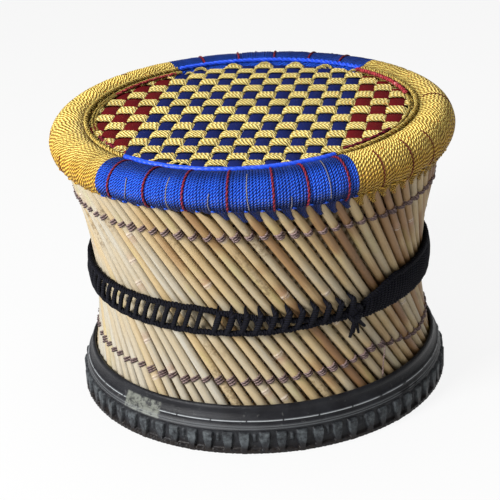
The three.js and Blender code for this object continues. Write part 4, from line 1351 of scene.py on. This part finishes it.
def smooth_cord(start, end, ring, radius):
    angles = np.arange(start, end, SMOOTH_CORD_STEP)
    path = settled(around(angles, ring[0] + SMOOTH_CORD_WAVE * np.sin(angles * SMOOTH_CORD_WAVES), ring[1]))
    return tube(path, radius, SMOOTH_CORD_SIDES, UPWARD, tone=any_tint())


def piping(name, start, end):
    """The piping beside one stretch of the rim, with the edging cords inside it."""
    gap = CORD_GAP / PIPING_RING[0]
    ends = (start + gap, end - gap)
    if name == "front_blue":
        return [smooth_cord(*ends, PIPING_RING, PIPING_RADIUS)]
    cords = seat_cord(*ends, PIPING_RING, *PIPING_CORD)
    for step_in in EDGING_STEPS_IN.get(name, ()):
        cords += seat_cord(*ends, (EDGING_RING[0] - step_in, EDGING_RING[1]), *EDGING_CORD)
    return cords


def seat_hoop():
    low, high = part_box("seat_hoop")
    thickness = (high.z - low.z) / 2
    return [level_ring(high.x - thickness, (high.z + low.z) / 2, thickness, *SEAT_HOOP_SEGMENTS)]


# Tyre and base hoop
def lathe(profile, segments, shift=None, tone=None):
    """A ring with the given section, listed as radius and height, with an optional outward shift."""
    profile = np.asarray(profile, float)
    angles = FULL_TURN * np.arange(segments)[:, None] / segments
    radius = np.broadcast_to(profile[:, 0], (segments, len(profile))).copy()
    height = np.broadcast_to(profile[:, 1], radius.shape)
    if shift is not None:
        radius += shift(angles, profile[None, :, 0], height)
    points = around(angles, radius, height).reshape(-1, 3)
    tones = np.zeros_like(points) if tone is None else tone(angles, height).reshape(-1, 3)
    return points, grid_faces(segments, len(profile), True), np.zeros_like(points), tones


def pair_phase(angle):
    """How far an angle is past the last narrow groove of the tread, as a share of a pair of lugs."""
    return np.mod(angle * LUG_PAIRS / FULL_TURN, 1.0)


def lug_share(angle, height):
    """How far a point of the tread stands out, from 0 in a groove to 1 on a lug."""
    pitch = FULL_TURN * (TYRE_WALL + LUG_DEPTH) / LUG_PAIRS
    phase = pair_phase(angle)
    centred = np.abs(phase - 0.5) * pitch
    widening = LUG_TAPER * np.clip((LUG_TAPER_HEIGHTS[0] - height) / LUG_TAPER_HEIGHTS[1], 0, 1) ** 2
    narrow = np.minimum(phase, 1 - phase) * pitch - NARROW_GROOVE / 2 - widening
    wide = centred - WIDE_GROOVE / 2 - widening
    number = np.floor(angle * LUG_PAIRS / FULL_TURN)
    wear = np.sin(number * LUG_WEAR_RATES[0] + phase * LUG_WEAR_RATES[1])
    worn = 1 - LUG_WEAR_SHARE + LUG_WEAR_SHARE * wear
    block = smooth_step(narrow / LUG_EDGE) * smooth_step(wide / LUG_EDGE) * worn * inside(height, *LUG_TOP)
    stub = inside(centred, *STUB_HALF_WIDTH) * inside(np.abs(height - STUB_HEIGHT), *STUB_HALF_HEIGHT)
    ragged = sum(share * np.sin(angle * rate + height * rise) for share, rate, rise in RAGGED_WAVES)
    foot = inside(height, *LUG_BAND) * (LUG_BAND_SHARE + ragged)
    return np.maximum(np.maximum(block, STUB_SHARE * stub), foot)


def tread(angle, radius, height):
    """How far the tread stands out from the tyre's wall."""
    on_wall = (radius > TYRE_WALL - LUG_EDGE / 2) & (height < TREAD_TOP)
    return np.where(on_wall, LUG_DEPTH * lug_share(angle, height), 0.0)


def tyre_marks(angle, height):
    """Rubbed lines, the dried patch and the lugs' bloom, on the outer side only."""
    angle = angle + np.zeros_like(height)
    from_dash = np.abs(pair_phase(angle) - DASH_PHASE) * DASH_PITCH
    wide = inside(np.abs(signed(angle) - DRIED_ANGLE), *DRIED_HALF_SPAN)
    tall = inside(np.abs(height - DRIED_HEIGHT), *DRIED_HALF_HEIGHT)
    line = hill(height - RUBBED_HEIGHT, RUBBED_WIDTH) * (1 - inside(from_dash, *DASH_GAP)) * (1 - wide)
    for faint in FAINT_HEIGHTS:
        line = line + FAINT_SHARE * hill(height - faint, FAINT_WIDTH)
    bloom = 1 - BLOOM_SHARE + BLOOM_SHARE * lug_share(angle, height)
    bloom = bloom * inside(height, *BLOOM_TOP) * smooth_step((height - BLOOM_FOOT[0]) / BLOOM_FOOT[1])
    marks = np.stack([line, wide * tall, bloom], axis=-1)
    marks[:, -INNER_POINTS:] = 0
    return marks


def base_hoop():
    low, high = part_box("base_hoop")
    outer = high.x
    inner = outer - HOOP_WIDTH
    edge = HOOP_EDGE
    profile = [
        (inner + edge, low.z), (outer - edge, low.z), (outer, low.z + edge), (outer, high.z - edge),
        (outer - edge, high.z), (inner + edge, high.z), (inner, high.z - edge), (inner, low.z + edge),
    ]
    return [lathe(profile, BASE_HOOP_SEGMENTS)]


# Camera, floor and lights
def place_camera():
    camera = new_object("camera", bpy.data.cameras.new("camera"))
    bpy.context.scene.camera = camera
    camera.data.sensor_width = SENSOR_WIDTH
    camera.data.lens = CAMERA_LENS
    ahead = Vector(CAMERA_AHEAD).normalized()
    right = ahead.cross(Vector(CAMERA_UP)).normalized()
    axes = Matrix((right, right.cross(ahead), -ahead)).transposed().to_4x4()
    turn = Matrix.Rotation(STOOL_TURN, 4, "Z")
    camera.matrix_world = turn @ Matrix.Translation(CAMERA_PLACE) @ axes


def pale_floor():
    """A white floor that glows evenly round the stool, where the camera or a reflection sees it."""
    half = FLOOR_SIZE / 2
    corners = [(-half, -half), (half, -half), (half, half), (-half, half)]
    mesh = bpy.data.meshes.new("floor")
    mesh.from_pydata([(x, y, -FLOOR_DROP) for x, y in corners], [], [(0, 1, 2, 3)])
    look = Look("pale_floor", Base_Color=FLOOR_COLOUR, Roughness=0.9, Specular_IOR_Level=0.1)
    away = look.node("ShaderNodeVectorMath", {0: look.place()}, "Value", operation="LENGTH")
    seen = look.seen_by("Camera", "Glossy") * look.between(away, GLOW_START, GLOW_START + GLOW_WIDTH)
    glow = look.node("ShaderNodeEmission", {"Strength": GLOW_STRENGTH})
    plain = Value(look, look.shader.outputs[0])
    mixed = look.node("ShaderNodeMixShader", {0: seen * GLOW_SHARE, 1: plain, 2: glow})
    look.feed(look.tree.nodes["Material Output"].inputs[0], mixed)
    mesh.materials.append(look.material)
    new_object("floor", mesh)


def white_world():
    """Soft light from all round, seen as plain white."""
    world = bpy.data.worlds.new("studio")
    bpy.context.scene.world = world
    world.use_nodes = True
    nodes = Nodes(world.node_tree)
    seen = nodes.seen_by("Camera", "Transmission")
    strength = nodes.node("ShaderNodeMapRange", {0: seen, "To Min": WORLD_LIGHT, "To Max": 1.0})
    background = nodes.tree.nodes["Background"]
    nodes.feed(background.inputs["Strength"], strength)
    nodes.feed(background.inputs["Color"], (1, 1, 1))


def lamp(name, place, size, power):
    """A square soft light that faces the stool's middle."""
    made = new_object(name, bpy.data.lights.new(name, "AREA"))
    made.data.size = size
    made.data.energy = power
    made.location = Matrix.Rotation(STOOL_TURN, 4, "Z") @ Vector(place)
    made.rotation_euler = (Vector(LAMP_TARGET) - made.location).to_track_quat("-Z", "Y").to_euler()


place_camera()
pale_floor()
white_world()
for name, settings in LAMPS.items():
    lamp(name, *settings)

looks = {name: rope_look(name, **settings) for name, settings in ROPE_LOOKS.items()}
bamboo = bamboo_look()

outer_layer = Layer(OUTER_CANES, OUTER_RADIUS, OUTER_SLOPE, CANE_RADII)
inner_layer = Layer(INNER_CANES, INNER_RADIUS, INNER_SLOPE, INNER_CANE_RADII)
outer_rises = random.uniform(*TIP_RISES, OUTER_CANES)
cane_panels(outer_layer, "outer_cane", cane_look("outer_cane_rind", OUTER_RIND), outer_rises)
cane_panels(inner_layer, "inner_cane", cane_look("inner_cane_rind", INNER_RIND), np.zeros(INNER_CANES))

upper_twine = twine_row(outer_layer, UPPER_TWINE, TWINE_SWAYS[0], TWINE_LIFTS[0])
dress("upper_twine", upper_twine, looks["jute_twine"])
lower_twine = twine_row(outer_layer, LOWER_TWINE, TWINE_SWAYS[1], TWINE_LIFTS[1])
dress("lower_twine", lower_twine + [loose_tail(outer_layer)], looks["jute_twine"])

dress("waist_ladder", waist_ladder(outer_layer), looks["navy_cord"])
dress("waist_strap", waist_strap(), looks["navy_cord"])
dress("waist_knot", waist_knot(), looks["navy_cord"])

rim = Rim(outer_layer)
dress("rim_core", rim_core(), straw_look())
for name, slot, start, end in STRETCHES:
    parts = winding(rim, start, end, slot) + stitches(rim, start, end)
    parts += fans(rim, start, end, SECTION_SHADES[slot][0][1])
    dress(f"rim_rope_{name}", parts, looks[slot])
for title, places in (("front_tracer", FRONT_TRACERS), ("rear_tracer", REAR_TRACERS)):
    for number, degrees in enumerate(places, 1):
        cord = rim_thread(rim, degrees, TRACER_RADIUS, TRACER_PLACES)
        dress(f"{title}_{number}", [cord], looks["red_cord"])
for colour, slot, threads in (("grey", "straw", GREY_THREADS), ("dark_red", "red_cord", RED_THREADS)):
    cords = [rim_thread(rim, degrees, THREAD_RADIUS, places) for degrees, places in threads.items()]
    piece(f"{colour}_threads", cords, looks[f"{colour}_thread"])

dress("seat_hoop", seat_hoop(), bamboo)
dress("seat_weft_gold", seat_weft(), looks["weft_rope"])
navy_tape = tape_look("navy_strip", *NAVY_TAPE)
red_tape = tape_look("dark_red_strip", *DARK_RED_TAPE)
for node, first, end, look, slot in (
    ("seat_warp_blue", -BLUE_COLUMNS, BLUE_COLUMNS, navy_tape, "warp_blue"),
    ("seat_warp_red_left", -HALF_COLUMNS, -BLUE_COLUMNS, red_tape, "warp_red"),
    ("seat_warp_red_right", BLUE_COLUMNS, HALF_COLUMNS, red_tape, "warp_red"),
):
    dress(node, seat_warp(first, end, WARP_WIDTHS[slot]), look, TAPE_CREASE)
for name, slot, start, end in STRETCHES:
    dress(f"seat_piping_{name}", piping(name, start, end), looks[PIPING_LOOKS[slot]])
for name, (start, end, look, cord) in LACINGS.items():
    lacing = seat_cord(math.radians(start), math.radians(end), LACING_RING, *cord)
    dress(f"lacing_{name}", lacing, looks[look])
stitched = seat_cord(*np.radians(STITCHED_EDGE_SPAN), STITCHED_EDGE_RING, *STITCHED_EDGE_CORD)
piece("stitched_edge", stitched, looks["lacing_cord"])

tyre = lathe(TYRE_SECTION, LUG_PAIRS * LUG_STEPS, tread, tyre_marks)
dress("tyre_base", [tyre], tyre_look(), TYRE_CREASE)
dress("base_hoop", base_hoop(), bamboo, TYRE_CREASE)

bpy.context.scene.view_settings.view_transform = "Standard"
